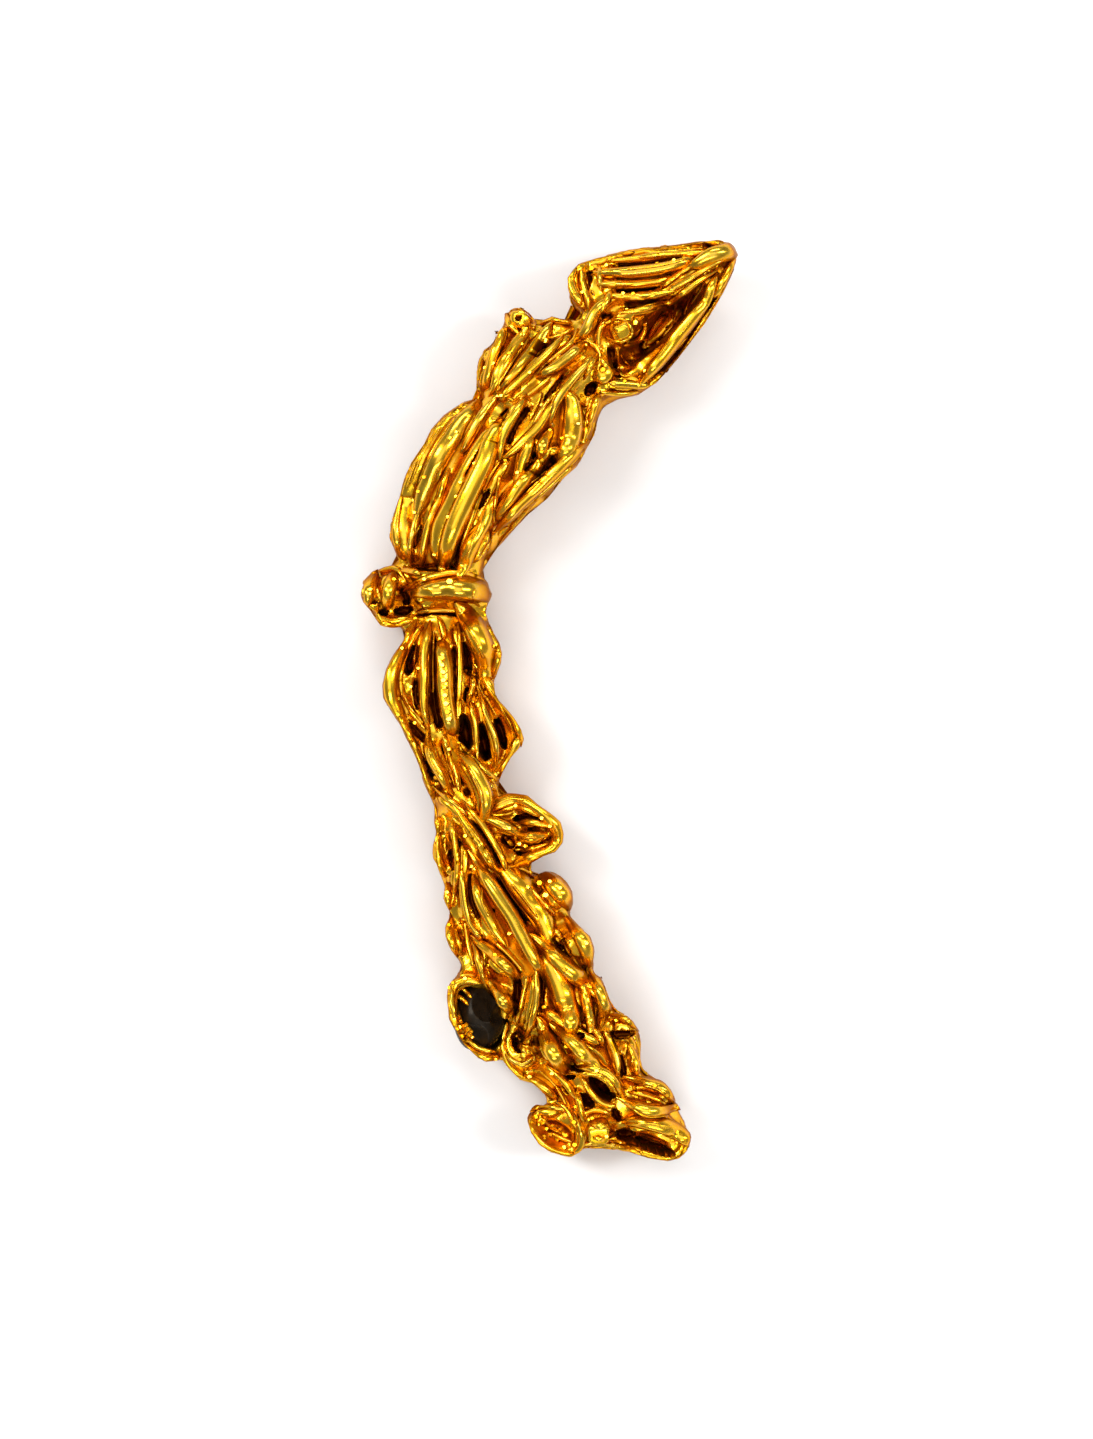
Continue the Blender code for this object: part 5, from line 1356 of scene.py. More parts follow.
@dataclass
class LoopKnob(Region):
    """The curled knob on the right of the narrow stem."""

    name: str = "loop_coils"
    heavy: Strands = (
        strand(0.38, 6.7, 17.7, 7.3, 17.95, 8.1, 18.05, 8.9, 17.65, 9.6, 17.05, 9.9, 16.45, 9.65, 15.95, 8.9, 15.6,
               7.9, 15.25), strand(0.34, 6.4, 17.1, 7.2, 16.8, 7.9, 16.4),
        strand(0.36, 8.1, 16.2, 8.8, 16.1, 9.3, 16.5), strand(0.32, 8.3, 17, 9.1, 17),
    )
    knobs: tuple[Knob, ...] = (Knob(8.6, 16.2, 0.4, 0.35, 0.4), Knob(9.35, 16.5, 0.32, 0.34, 0.35))
    hollows: tuple[Hollow, ...] = (
        Hollow(7.55, 16.1, 0.4, 0.2, -40, 0.7), Hollow(8.2, 15.6, 0.4, 0.18, -20, 0.7),
        Hollow(8.4, 17.3, 0.7, 0.16, 5, 0.8),
    )
    grooves: tuple[Groove, ...] = (
        groove(0.09, 0.5, 8.3, 16.6, 9, 16.6, 9.4, 16.2), groove(0.09, 0.5, 8.2, 15.9, 8.9, 15.85, 9.5, 16.1),
    )
    broad: Strands = (
        strand(0.4, 6.6, 17.6, 7.2, 18, 8, 18.2, 8.8, 17.9, 9.5, 17.35, 9.95, 16.7, 9.95, 16.1, 9.5, 15.65, 8.6,
               15.3, 7.8, 15, lift=0.35), leaf(0.46, 6, 17.3, 7.1, 16.9, 8.3, 16.3, lift=0.7),
        leaf(0.5, 7.8, 16.5, 8.6, 16.2, 9.5, 16.5, lift=0.6), leaf(0.3, 8, 17, 8.9, 17.02, 9.7, 16.9),
        leaf(0.3, 7.1, 17.7, 8.1, 17.85, 9.1, 17.4, lift=0.6), leaf(0.26, 7.8, 15.7, 8.8, 15.7, 9.6, 16),
    )
    fine: Strands = (
        blade(0.08, 7.9, 16.2, 8.6, 16.35, 9.2, 16.3), blade(0.08, 9.7, 17.1, 9.95, 16.6, 9.9, 16.2),
        strand(0.07, 6.8, 17.9, 7.6, 18.25, 8.4, 18.2),
    )
    small: tuple[Bead, ...] = beads(0.08, 7.9, 17.9, 9.2, 17.3, 8.1, 16, 9.6, 16.9, 8.4, 15.9, 7.6, 16.8)


@dataclass
class Shaft(Region):
    """The lower shaft with its crossing ropes, berry knob and edge blocks."""

    name: str = "shaft_ropes"
    heavy: Strands = (
        strand(0.36, 4.15, 17.4, 4.1, 16.4, 4.05, 15.5, 4.45, 14.5),
        strand(0.3, 4.7, 17.2, 5, 16, 5, 14.8, 4.8, 13.8), plate(0.36, 5.2, 17.4, 6, 16.4, 6.6, 15.4, 7, 14.8),
        strand(0.3, 5.4, 17.8, 6.3, 16.8, 7, 15.7, 7.5, 14.5),
        strand(0.36, 6.1, 14.7, 6.9, 13.4, 7.6, 12.4, 8.2, 11.4, 8.8, 10.4, 9.3, 9.5),
        strand(0.28, 5.4, 15.9, 5.3, 14.4, 5.4, 13, 5.7, 12, 6.4, 11.3),
        strand(0.3, 7.5, 14.3, 8.4, 13.7, 9.2, 12.9, 9.8, 12.4), strand(0.4, 4.75, 13.6, 4.7, 12.9),
        strand(0.48, 4.8, 12, 4.8, 11.2, 5.2, 10.4), plate(0.4, 9.2, 10.7, 10.2, 9.9, 11.1, 9.2),
        strand(0.46, 10.9, 11.7, 11.25, 10.8, 11.35, 9.9), strand(0.34, 9.3, 11.6, 10.1, 11, 10.4, 10.3),
        strand(0.46, 11.7, 9.4, 12.05, 8.6, 12.15, 7.7),
        strand(0.32, 5.9, 10.8, 6.2, 9.8, 6.4, 8.8, 6.9, 7.9, 7.6, 7.4), strand(0.4, 6.5, 10.4, 7.2, 9.9, 7.8, 9.4),
        strand(0.34, 8.9, 9.7, 8.8, 8.6, 8.6, 7.6, 8.4, 6.7), strand(0.4, 7, 8.9, 7.5, 8.3, 8, 7.6),
    )
    knobs: tuple[Knob, ...] = (
        Knob(9.9, 13.5, 0.78, 0.78, 0.65), Knob(4.5, 11.6, 0.42, 0.5, 0.45), Knob(4.5, 13.4, 0.36, 0.42, 0.4),
        Knob(4.05, 15.5, 0.34, 0.4, 0.35), Knob(9.35, 14.1, 0.36, 0.34, 0.4), Knob(9.2, 13.3, 0.34, 0.34, 0.4),
    )
    cubes: tuple[Cube, ...] = (Cube(10.9, 11.3, 0.58, 25, 30),)
    hollows: tuple[Hollow, ...] = (
        Hollow(4.7, 15.2, 0.55, 0.16, -78, 0.6), Hollow(10.35, 10.9, 0.5, 0.16, -62, 0.8),
        Hollow(6.6, 12.6, 0.3, 0.14, 40, 0.5), Hollow(10.4, 7.85, 0.2, 0.17, 0, 0.6),
        Hollow(10.9, 7.3, 0.22, 0.13, -50, 0.6), Hollow(8.9, 12.4, 0.5, 0.1, 0, 0.4),
    )
    grooves: tuple[Groove, ...] = (
        groove(0.1, 0.6, 5.7, 17.1, 6.4, 16.1, 6.9, 15.2, 7.1, 14.6),
        groove(0.08, 0.5, 5.1, 16.4, 5.15, 15.4, 5.1, 14.4), groove(0.09, 0.6, 7.1, 14.3, 7.9, 13.1, 8.5, 12.1),
        groove(0.08, 0.5, 5.75, 14.6, 5.7, 13.4, 6.1, 12.2), groove(0.12, 0.7, 6.6, 10.9, 7.3, 10.3, 8, 9.7),
        groove(0.12, 0.8, 8, 9.4, 7.95, 8.3, 7.6, 7.4), groove(0.11, 0.7, 9.3, 9.9, 9.2, 8.8, 9, 7.6),
        groove(0.1, 0.6, 9.5, 11.4, 10, 10.9, 10.4, 10.2),
    )
    broad: Strands = (
        strand(0.26, 4.05, 17.3, 3.95, 16.3, 4.05, 15.2, 4.4, 14.3, lift=0.3),
        leaf(0.4, 4.8, 17.9, 5.8, 16.5, 6.5, 15.4, 7.1, 14.3, lift=0.65),
        leaf(0.28, 5.2, 18.2, 6.3, 16.8, 7.05, 15.6, 7.6, 14.1, lift=1.1),
        leaf(0.58, 5.5, 15.7, 6.8, 13.6, 7.6, 12.4, 8.2, 11.3, 9.4, 9.2, lift=0.85),
        strand(0.16, 5.3, 16, 5.25, 14.5, 5.4, 13, 5.7, 12, 6.3, 11.3, lift=0.7),
        leaf(0.52, 5.8, 14.5, 6.05, 13.2, 6.6, 12.1, 7.5, 10.9),
        leaf(0.24, 4.8, 16.9, 4.95, 15.4, 4.9, 14.2, 4.7, 13), leaf(1.05, 6.9, 15.1, 8.1, 13.6, 8.9, 12.4, 9.7, 10.8),
        leaf(0.2, 7.5, 14.6, 8.6, 13.75, 9.9, 12.4, lift=0.8), leaf(0.7, 10.3, 12.4, 11.1, 11.2, 11.5, 9.9, lift=0.6),
        leaf(0.3, 9.2, 12.2, 10, 11.4, 10.6, 10.4, lift=0.6),
        leaf(0.7, 8.4, 11.6, 9.7, 10.4, 10.7, 9.5, 11.9, 8.5, lift=1),
        leaf(0.58, 11.4, 9.9, 12, 8.7, 12.15, 7.9, 12, 6.9, lift=0.35), leaf(0.5, 5.7, 11.5, 6.8, 10.4, 8, 9.4),
        leaf(0.34, 5.8, 11.2, 6.1, 9.9, 6.45, 8.9, 6.9, 8.2, lift=0.9),
        leaf(0.56, 6.4, 9.3, 7.1, 8.5, 7.9, 7.2, lift=1), strand(0.12, 8.5, 9.5, 8.2, 8.2, 7.9, 7, lift=1),
        leaf(0.3, 8.9, 10, 8.85, 8.5, 8.6, 7.3, 8.35, 6.3, lift=0.7), leaf(1.05, 9.1, 10.8, 9.9, 8.8, 10.7, 6.5),
        leaf(0.5, 11, 9.3, 11.3, 8.1, 11.5, 6.7, lift=0.6), leaf(0.42, 4.6, 12.6, 4.55, 11.5, 5, 10.4, lift=0.4),
        leaf(0.28, 5.4, 12.1, 5.5, 11.1, 5.8, 10, lift=0.4), strand(0.18, 6.9, 11.2, 7.7, 10.4, 8.3, 9.7),
        leaf(0.8, 9, 14.6, 9.9, 13.6, 10.7, 12.7), leaf(0.34, 4.5, 14.1, 4.5, 13.4, 4.6, 12.7),
        leaf(0.3, 7.3, 14.9, 8, 14.7, 8.8, 14.2, lift=0.4),
    )
    fine: Strands = (
        blade(0.07, 5.6, 16.9, 6.3, 15.9, 6.8, 15), blade(0.08, 6.6, 14, 7.4, 12.8, 8, 11.8),
        blade(0.08, 6.2, 13.9, 6.25, 13.1, 6.6, 12.4), strand(0.08, 6.2, 10.4, 6.3, 9.4, 6.6, 8.6),
        blade(0.09, 9.3, 10.9, 10.2, 10.1, 10.9, 9.5), blade(0.08, 8.9, 9.3, 8.8, 8.3, 8.6, 7.4),
        blade(0.08, 10.6, 11.7, 11.1, 11, 11.3, 10.4), blade(0.08, 3.95, 17, 3.88, 16, 3.95, 15.2),
        blade(0.08, 7.7, 14.1, 8.4, 13.2, 9, 12.4),
    )
    small: tuple[Bead, ...] = (
        *beads(0.085, 6.5, 10, 6.9, 10.6, 10.1, 13.9, 9.6, 14.2, 9.9, 12.7, 5.7, 14.9, 8.5, 13.9, 11.4, 11.2, 5.4,
               16.4, 7.6, 11.6, 10.3, 9.9, 11.6, 9, 4.6, 12, 4.5, 13.6), *beads(0.12, 9.4, 13.5, 9.1, 14.1),
    )


@dataclass
class GrainCup(Region):
    """The ring of gold round the dark mineral grain, with two ribs and a rosette of crystals on the grain."""

    name: str = "grain_cup_ring"
    heavy: Strands = (
        strand(0.32, 6.3, 9, 5.5, 9.2, 4.85, 8.8, 4.75, 7.9, 4.85, 7, 5.3, 6.1, 6.1, 5.5, 7.1, 5.4),
    )
    broad: Strands = (
        strand(0.24, 6.2, 9.1, 5.5, 9.25, 4.85, 8.95, 4.65, 8, 4.75, 7, 5.25, 6.1, 6.2, 5.4, 7.1, 5.35, lift=0.35),
        strand(0.12, 4.75, 8.5, 5.15, 8.35, 5.55, 8, lift=0.2),
        strand(0.12, 4.85, 8.95, 5.3, 8.75, 5.7, 8.35, lift=0.2), leaf(0.24, 4.75, 9, 4.7, 8.2, 4.85, 7.4, lift=0.8),
        leaf(0.26, 5.4, 6.3, 6.1, 5.75, 6.9, 5.6, lift=0.3),
    )
    small: tuple[Bead, ...] = (
        *beads(0.13, 5.35, 6.62, 5.16, 6.75, 5.22, 6.45, 5.5, 6.8, 5.55, 6.5, 5.36, 6.3, 5.3, 6.92),
        *beads(0.09, 5.02, 6.6, 5.66, 6.68, 5.12, 6.95, 5.52, 6.26, 5.18, 6.24, 5.7, 6.4, 5, 6.85, 5.45, 7.05),
        *beads(0.08, 4.6, 8.6, 4.6, 8.9, 4.8, 9.15, 5.4, 9.35, 6.9, 5.3),
    )


@dataclass
class Heel(Region):
    """The cluster of small plates, cups and blocks above the foot."""

    name: str = "heel_plates"
    heavy: Strands = (
        strand(0.26, 7.8, 7, 7.55, 6.2, 7.75, 5.5, 8.3, 5.05, 8.9, 5.2), plate(0.6, 9.45, 6.4, 9.8, 5.6, 10.2, 5.1),
        plate(0.46, 10.2, 6.5, 10.8, 5.9, 11.5, 5.4), strand(0.36, 10.8, 4.9, 11.8, 4.8, 12.6, 4.3, 13, 3.6),
        strand(0.34, 9.3, 7.9, 10.2, 7.3, 11.2, 6.6, 12.1, 6.1), strand(0.36, 12.7, 7.3, 13.45, 7, 13.75, 6.4),
        strand(0.36, 13.6, 5.9, 13.8, 5.1, 13.8, 4.5), strand(0.44, 13.6, 3.3, 14.4, 2.75, 15.4, 2.65),
        strand(0.36, 13.8, 4, 14.5, 3.95, 15.2, 3.75, 15.55, 3.1), strand(0.34, 8.4, 4.5, 9.3, 3.9, 9.9, 3.3),
        strand(0.32, 10.9, 3.9, 11.1, 3.1, 11.2, 2.3),
    )
    cubes: tuple[Cube, ...] = (
        Cube(8.35, 5.8, 0.34, 0, 20), Cube(13.2, 6.9, 0.42, 0, 20), Cube(14.1, 3.9, 0.3, 15, 30),
    )
    hollows: tuple[Hollow, ...] = (
        Hollow(7.95, 6.1, 0.55, 0.26, -72, 0.9), Hollow(12.2, 3.85, 0.85, 0.3, -44, 1.3),
        Hollow(11.1, 6.6, 0.2, 0.17, 0, 0.6), Hollow(10.5, 4.45, 0.35, 0.14, 0, 0.6),
        Hollow(11.4, 3.3, 0.5, 0.22, -40, 0.8), Hollow(10.4, 3.7, 0.3, 0.12, -50, 0.5),
    )
    grooves: tuple[Groove, ...] = (
        groove(0.11, 0.7, 12.5, 6.55, 13.2, 6.58, 13.9, 6.6), groove(0.1, 0.6, 9, 7, 9.6, 6.85, 10.1, 6.95),
        groove(0.1, 0.6, 10.3, 5, 10.9, 4.95, 11.5, 5), groove(0.1, 0.6, 13.1, 5.6, 13.2, 4.9, 13.3, 4.3),
        groove(0.12, 0.7, 8.85, 6.6, 8.85, 5.9, 9.2, 5.2),
    )
    broad: Strands = (
        strand(0.13, 7.5, 7.1, 7.3, 6.2, 7.5, 5.5, 8.2, 5.05, 8.8, 5.4, lift=0.8),
        leaf(0.32, 7.3, 6.5, 7.3, 5.5, 7.8, 4.7, 8.6, 4.2, lift=0.3), leaf(0.75, 8.9, 7.5, 9.5, 6, 10.4, 4.6, lift=1),
        leaf(0.62, 9.6, 7.2, 10.8, 6, 12.1, 4.7, lift=1.25), leaf(0.36, 10.8, 5, 11.9, 4.85, 12.6, 4.4, 13.3, 3.3),
        strand(0.2, 11.2, 4.4, 11.6, 3.7, 12.2, 3.15, 12.9, 3, lift=0.3),
        leaf(0.32, 12.4, 7.5, 13.3, 7.25, 14, 6.7, lift=0.8),
        strand(0.12, 12.7, 6.3, 13.3, 6.25, 13.85, 6.15, lift=0.8), leaf(0.3, 13.4, 6.2, 13.75, 5.3, 13.9, 4.4),
        leaf(0.42, 12.2, 6.8, 12.6, 5.7, 12.9, 4.6), leaf(0.44, 13.2, 4.4, 14.3, 4.1, 15.2, 3.8, 15.8, 3),
        leaf(0.28, 13.5, 3.7, 14.4, 3.5, 15.3, 3.1), leaf(0.54, 12.9, 3.5, 14.3, 2.8, 16.1, 2.7, lift=1.2),
        leaf(0.36, 7.9, 4.5, 9, 4, 10, 3.2, lift=0.4), leaf(0.32, 9.4, 5, 10.2, 4.3, 10.9, 3.4, lift=0.4),
        leaf(0.24, 9.9, 3.9, 10.3, 3.1, 10.6, 2.4, lift=0.4), strand(0.18, 10.9, 3.8, 11.1, 3, 11.3, 2.2),
        leaf(0.34, 9.1, 8, 9.9, 7.4, 10.6, 6.9, lift=0.3), leaf(0.3, 11.1, 7.1, 11.8, 6.6, 12.2, 5.9),
        plate(0.24, 8.15, 6.1, 8.4, 5.6, lift=0.8), leaf(0.3, 12.4, 5, 12, 5.6, 11.4, 6.2, lift=0.4),
    )
    fine: Strands = (
        blade(0.08, 9.2, 6.7, 9.5, 6, 9.95, 5.4), blade(0.07, 10.2, 6.4, 10.9, 5.8, 11.5, 5.3),
        blade(0.1, 13.7, 5, 13.75, 5.7), blade(0.08, 13.6, 3, 14.4, 2.6, 15.4, 2.6),
        blade(0.08, 14.2, 4.1, 14.9, 3.9, 15.4, 3.5), strand(0.08, 11.3, 4.85, 12, 4.75, 12.6, 4.3),
        blade(0.07, 10.1, 4.6, 10.9, 4.6), blade(0.07, 12.6, 3.2, 13, 3.5, 13.3, 4),
    )
    small: tuple[Bead, ...] = beads(
        0.09, 9.3, 8, 10.7, 8.5, 12, 6.9, 13.9, 3.5, 13.3, 3.9, 8.1, 5.3, 10.4, 6.1, 11.2, 5.6, 12.4, 5.2, 13, 4.4,
        14.8, 4.1, 15.4, 3.6, 9.7, 4.6, 8.6, 4.4, 12.9, 7.3, 11.9, 4.9, 10.9, 2.9,
    )


@dataclass
class Foot(Region):
    """The foot: a hollow leaf, a block and a shell with a toothed lip."""

    name: str = "foot_leaves"
    heavy: Strands = (
        strand(0.3, 8.75, 2.5, 8.75, 1.8, 9.3, 1, 10.2, 0.65, 10.85, 0.75, 11.1, 1.6, 10.9, 2.4),
        strand(0.3, 8.9, 2.6, 9.6, 2.6, 10.3, 2.9),
        strand(0.36, 13.4, 1.9, 14.4, 2, 15.5, 2, 16.2, 1.6, 16.3, 1, 15.85, 0.5),
        strand(0.32, 13.3, 1, 14.2, 0.6, 15.1, 0.42, 15.9, 0.5), strand(0.3, 11.3, 0.95, 12.4, 1, 13.2, 0.95),
    )
    cubes: tuple[Cube, ...] = (Cube(12, 1.85, 0.55, 5, 20),)
    hollows: tuple[Hollow, ...] = (
        Hollow(14.7, 0.98, 1.3, 0.24, -20, 1), Hollow(13.35, 1.5, 0.55, 0.34, 0, 1.1),
        Hollow(9.9, 1.6, 0.9, 0.6, -28, 0.35), Hollow(15.8, 1.5, 0.2, 0.16, 0, 0.4),
        Hollow(12.9, 2.5, 0.4, 0.2, -60, 0.8),
    )
    broad: Strands = (
        strand(0.18, 8.6, 2.6, 9.4, 2.85, 10.5, 2.7, 11.05, 2, 11.15, 1.1, 10.8, 0.55, lift=0.5),
        strand(0.18, 8.6, 2.45, 8.8, 1.6, 9.4, 0.95, 10.1, 0.62, 10.8, 0.5, lift=0.5),
        leaf(0.3, 9.9, 3.1, 10.5, 2.6, 10.9, 1.9, lift=0.6), leaf(0.26, 11, 1, 12.3, 1, 13.7, 0.75),
        leaf(0.66, 13.2, 2.2, 14.7, 2, 15.7, 1.7, 16.8, 0.8, lift=0.8),
        strand(0.17, 13.3, 1, 14.2, 0.55, 15.3, 0.3, 16.1, 0.4, lift=0.6),
        strand(0.2, 16, 0.5, 16.45, 1, 16.35, 1.6, lift=0.3), plate(0.36, 11.6, 2.15, 12.4, 2.05, lift=0.7),
        leaf(0.24, 11.4, 1.6, 12.2, 1.45, 12.9, 1.6, lift=0.4), leaf(0.24, 11.2, 2.6, 11.9, 2.75, 12.6, 2.6),
        strand(0.12, 10.9, 2.4, 11.3, 1.7, 11.3, 1, lift=0.6), leaf(0.2, 9.2, 2.3, 9.6, 1.8, 10.2, 1.4, lift=0.3),
        leaf(0.2, 9.6, 1.5, 10.2, 1.2, 10.7, 1.1, lift=0.3),
    )
    fine: Strands = (
        strand(0.07, 13.95, 1.1, 14.2, 0.55), strand(0.08, 14.4, 0.95, 14.6, 0.42),
        strand(0.08, 14.85, 0.85, 15, 0.35), strand(0.08, 15.3, 0.7, 15.4, 0.3),
        strand(0.07, 15.65, 0.6, 15.75, 0.35), blade(0.08, 13.3, 2.1, 14.5, 2.2, 15.6, 2),
        strand(0.06, 11.2, 0.85, 12.4, 0.85, 13.4, 0.7),
    )
    small: tuple[Bead, ...] = (
        *beads(0.1, 8.9, 2.4, 9.25, 2.1, 9.4, 1.75, 9.6, 1.45, 9.95, 1.2, 10.4, 1.4, 10.8, 1.7, 10.85, 1, 10.3, 0.85,
               10.8, 2.2),
        *beads(0.08, 9, 2, 9.7, 1.9, 10.1, 1.7, 9.3, 1.3, 15.6, 1.5, 15.9, 1.75, 15.7, 1.25, 11.7, 2.4, 12.4, 1.6,
               12.9, 1, 16.3, 1.3),
    )


@dataclass(frozen=True)
class Spine:
    """The nugget's middle line, for strands on the sides that the photo doesn't show: u, v, h, half sizes."""

    rows: tuple[tuple[float, float, float, float, float], ...] = (
        (18.5, 45.45, 3.3, 0.4, 0.45), (17.4, 44.7, 3.25, 1.1, 0.95), (16.2, 43.9, 3.2, 1.7, 1.45),
        (14.9, 43.05, 3.1, 2.2, 1.9), (13.6, 42.2, 3, 2.6, 2.2), (12.3, 40.9, 2.95, 2.2, 2.15),
        (11.1, 39.7, 3.1, 2.3, 2.25), (9.7, 38.2, 3.35, 2.6, 2.5), (8.2, 36.6, 3.45, 2.75, 2.6),
        (6.8, 34.9, 3.35, 2.75, 2.55), (5.5, 33.2, 3.1, 2.55, 2.4), (4.6, 31.6, 2.8, 2.15, 2.1),
        (4.15, 30.2, 2.5, 1.75, 1.85), (4.2, 28.9, 2.4, 1.7, 1.75), (4.4, 27.2, 2.4, 1.7, 1.75),
        (4.3, 25.7, 2.5, 2.1, 1.9), (4.2, 24.2, 2.55, 2.35, 2), (4.4, 22.7, 2.6, 2.25, 2), (4.9, 21.2, 2.6, 2, 1.95),
        (5.1, 19.6, 2.6, 1.6, 1.8), (5.2, 18, 2.6, 1.3, 1.65), (5.4, 16.4, 2.7, 1.35, 1.7), (6, 14.8, 2.8, 1.6, 1.85),
        (6.8, 13.1, 2.9, 1.95, 2.05), (7.8, 11.3, 2.95, 2.35, 2.2), (8.8, 9.5, 2.95, 2.4, 2.25),
        (9.9, 7.8, 2.85, 2.15, 2.2), (10.9, 6.2, 2.75, 2.2, 2.15), (11.9, 4.6, 2.6, 2, 2.05),
        (13, 3.1, 2.5, 1.8, 1.9), (14.2, 2, 2.4, 1, 1.5),
    )

    def path(self, step: float = 0.25) -> np.ndarray:
        """The line's points, with the plan direction to its right in two more columns."""
        path = flowing(self.rows, step)
        along = np.gradient(path[:, :2], axis=0)
        along /= np.linalg.norm(along, axis=1)[:, None]
        return np.column_stack([path, -along[:, 1], along[:, 0]])


@dataclass
class Underside:
    """Strands on the sides and the back, laid along the spine in the habit of those in the photo."""

    name: str = "underside_strands"
    spine: Spine = field(default_factory=Spine)
    seed: int = 23
    heavy_count: int = 84
    fine_count: int = 150
    heavy_widths: tuple[float, float] = (0.22, 0.40)
    fine_widths: tuple[float, float] = (0.09, 0.19)
    lengths: tuple[float, float] = (1.8, 5.5)
    least_height: float = 0.42

    def laid(self, ground: Ground, count: int, widths: tuple[float, float], seed: int) -> list[LaidStrand]:
        """Lays strands along the spine.

        Args:
            ground: what carries them.
            count: how many there are.
            widths: the least and the largest half width.
            seed: the fixed seed.

        Returns:
            The strands in their places.
        """
        chance = random.Random(seed)
        path = self.spine.path(0.2)
        found = []
        for k in range(count):
            width = chance.uniform(*widths)
            run = int(chance.uniform(*self.lengths) / 0.2)
            start = int((len(path) - run - 4) * (k + chance.random()) / count) + 2
            first = math.radians(-90 + chance.uniform(-98, 98))
            last = first + math.radians(chance.uniform(-24, 24))
            section = chance.choice((Section.ROUND, Section.BLADE, Section.BLADE, Section.GUTTER))
            places, ups = [], []
            for share in np.linspace(0, 1, run):
                u, v, h, wide, deep, side_u, side_v = path[min(len(path) - 1, start + round(run * share))]
                angle = first + (last - first) * share
                reach = (u + side_u * wide * math.cos(angle), v + side_v * wide * math.cos(angle),
                         h + deep * math.sin(angle))
                place, up = ground.nearest(reach)
                centre = place + up * width * 0.4
                centre.z = max(centre.z, self.least_height)
                places.append(centre[:])
                ups.append(up[:])
            rows, turns = np.array(places), np.array(ups)
            for _ in range(3):
                rows[1:-1] = (rows[:-2] + 2 * rows[1:-1] + rows[2:]) / 4
                turns[1:-1] = (turns[:-2] + 2 * turns[1:-1] + turns[2:]) / 4
            taper = np.maximum(end_taper(rows, 2.6 * width), 0.06)
            found.append(LaidStrand(rows, turns, width * taper, section))
        return found

    def build(self, ground: Ground, loom: StrandLoom, finish: Material) -> Mesh:
        """The fine strands of the sides and the back, in millimetres."""
        laid = self.laid(ground, self.fine_count, self.fine_widths, self.seed + 1)
        return shaded(loom.weave(laid, finish), ground, 0.12)

    def heavy(self, ground: Ground) -> list[LaidStrand]:
        """The heavy strands, which grow together with the body."""
        return self.laid(ground, self.heavy_count, self.heavy_widths, self.seed)


# ---- the body


def shaded_sides(mesh: Mesh, inside: np.ndarray) -> np.ndarray:
    """How much painted shade the steep sides and the rim just inside the outline get.

    Args:
        mesh: the mesh.
        inside: how far each of its points is inside the outline.

    Returns:
        A share from 0 to 1 for each point.
    """
    steep = eased((0.82 - normals_of(mesh)[:, 2]) / 0.60)
    return SIDE_SHADE * np.maximum(eased((SHADED_RIM - inside) / SHADED_RIM), steep)


def shaded(mesh: Mesh, ground: Ground, reach: float) -> Mesh:
    """Draws laid forms in to the outline and keeps how deep their points lie, as the value "hollow", which the gold
    paints as contact shade, together with the painted shade of steep sides.

    Args:
        mesh: the forms.
        ground: what they lie on.
        reach: how far above the ground its painted shade goes.

    Returns:
        The same mesh.
    """
    inside = Outline().draw_in(mesh)
    gaps = ground.clearance(points_of(mesh))
    set_values(mesh, "hollow", np.maximum(1 - eased(gaps / reach), shaded_sides(mesh, inside)))
    return mesh


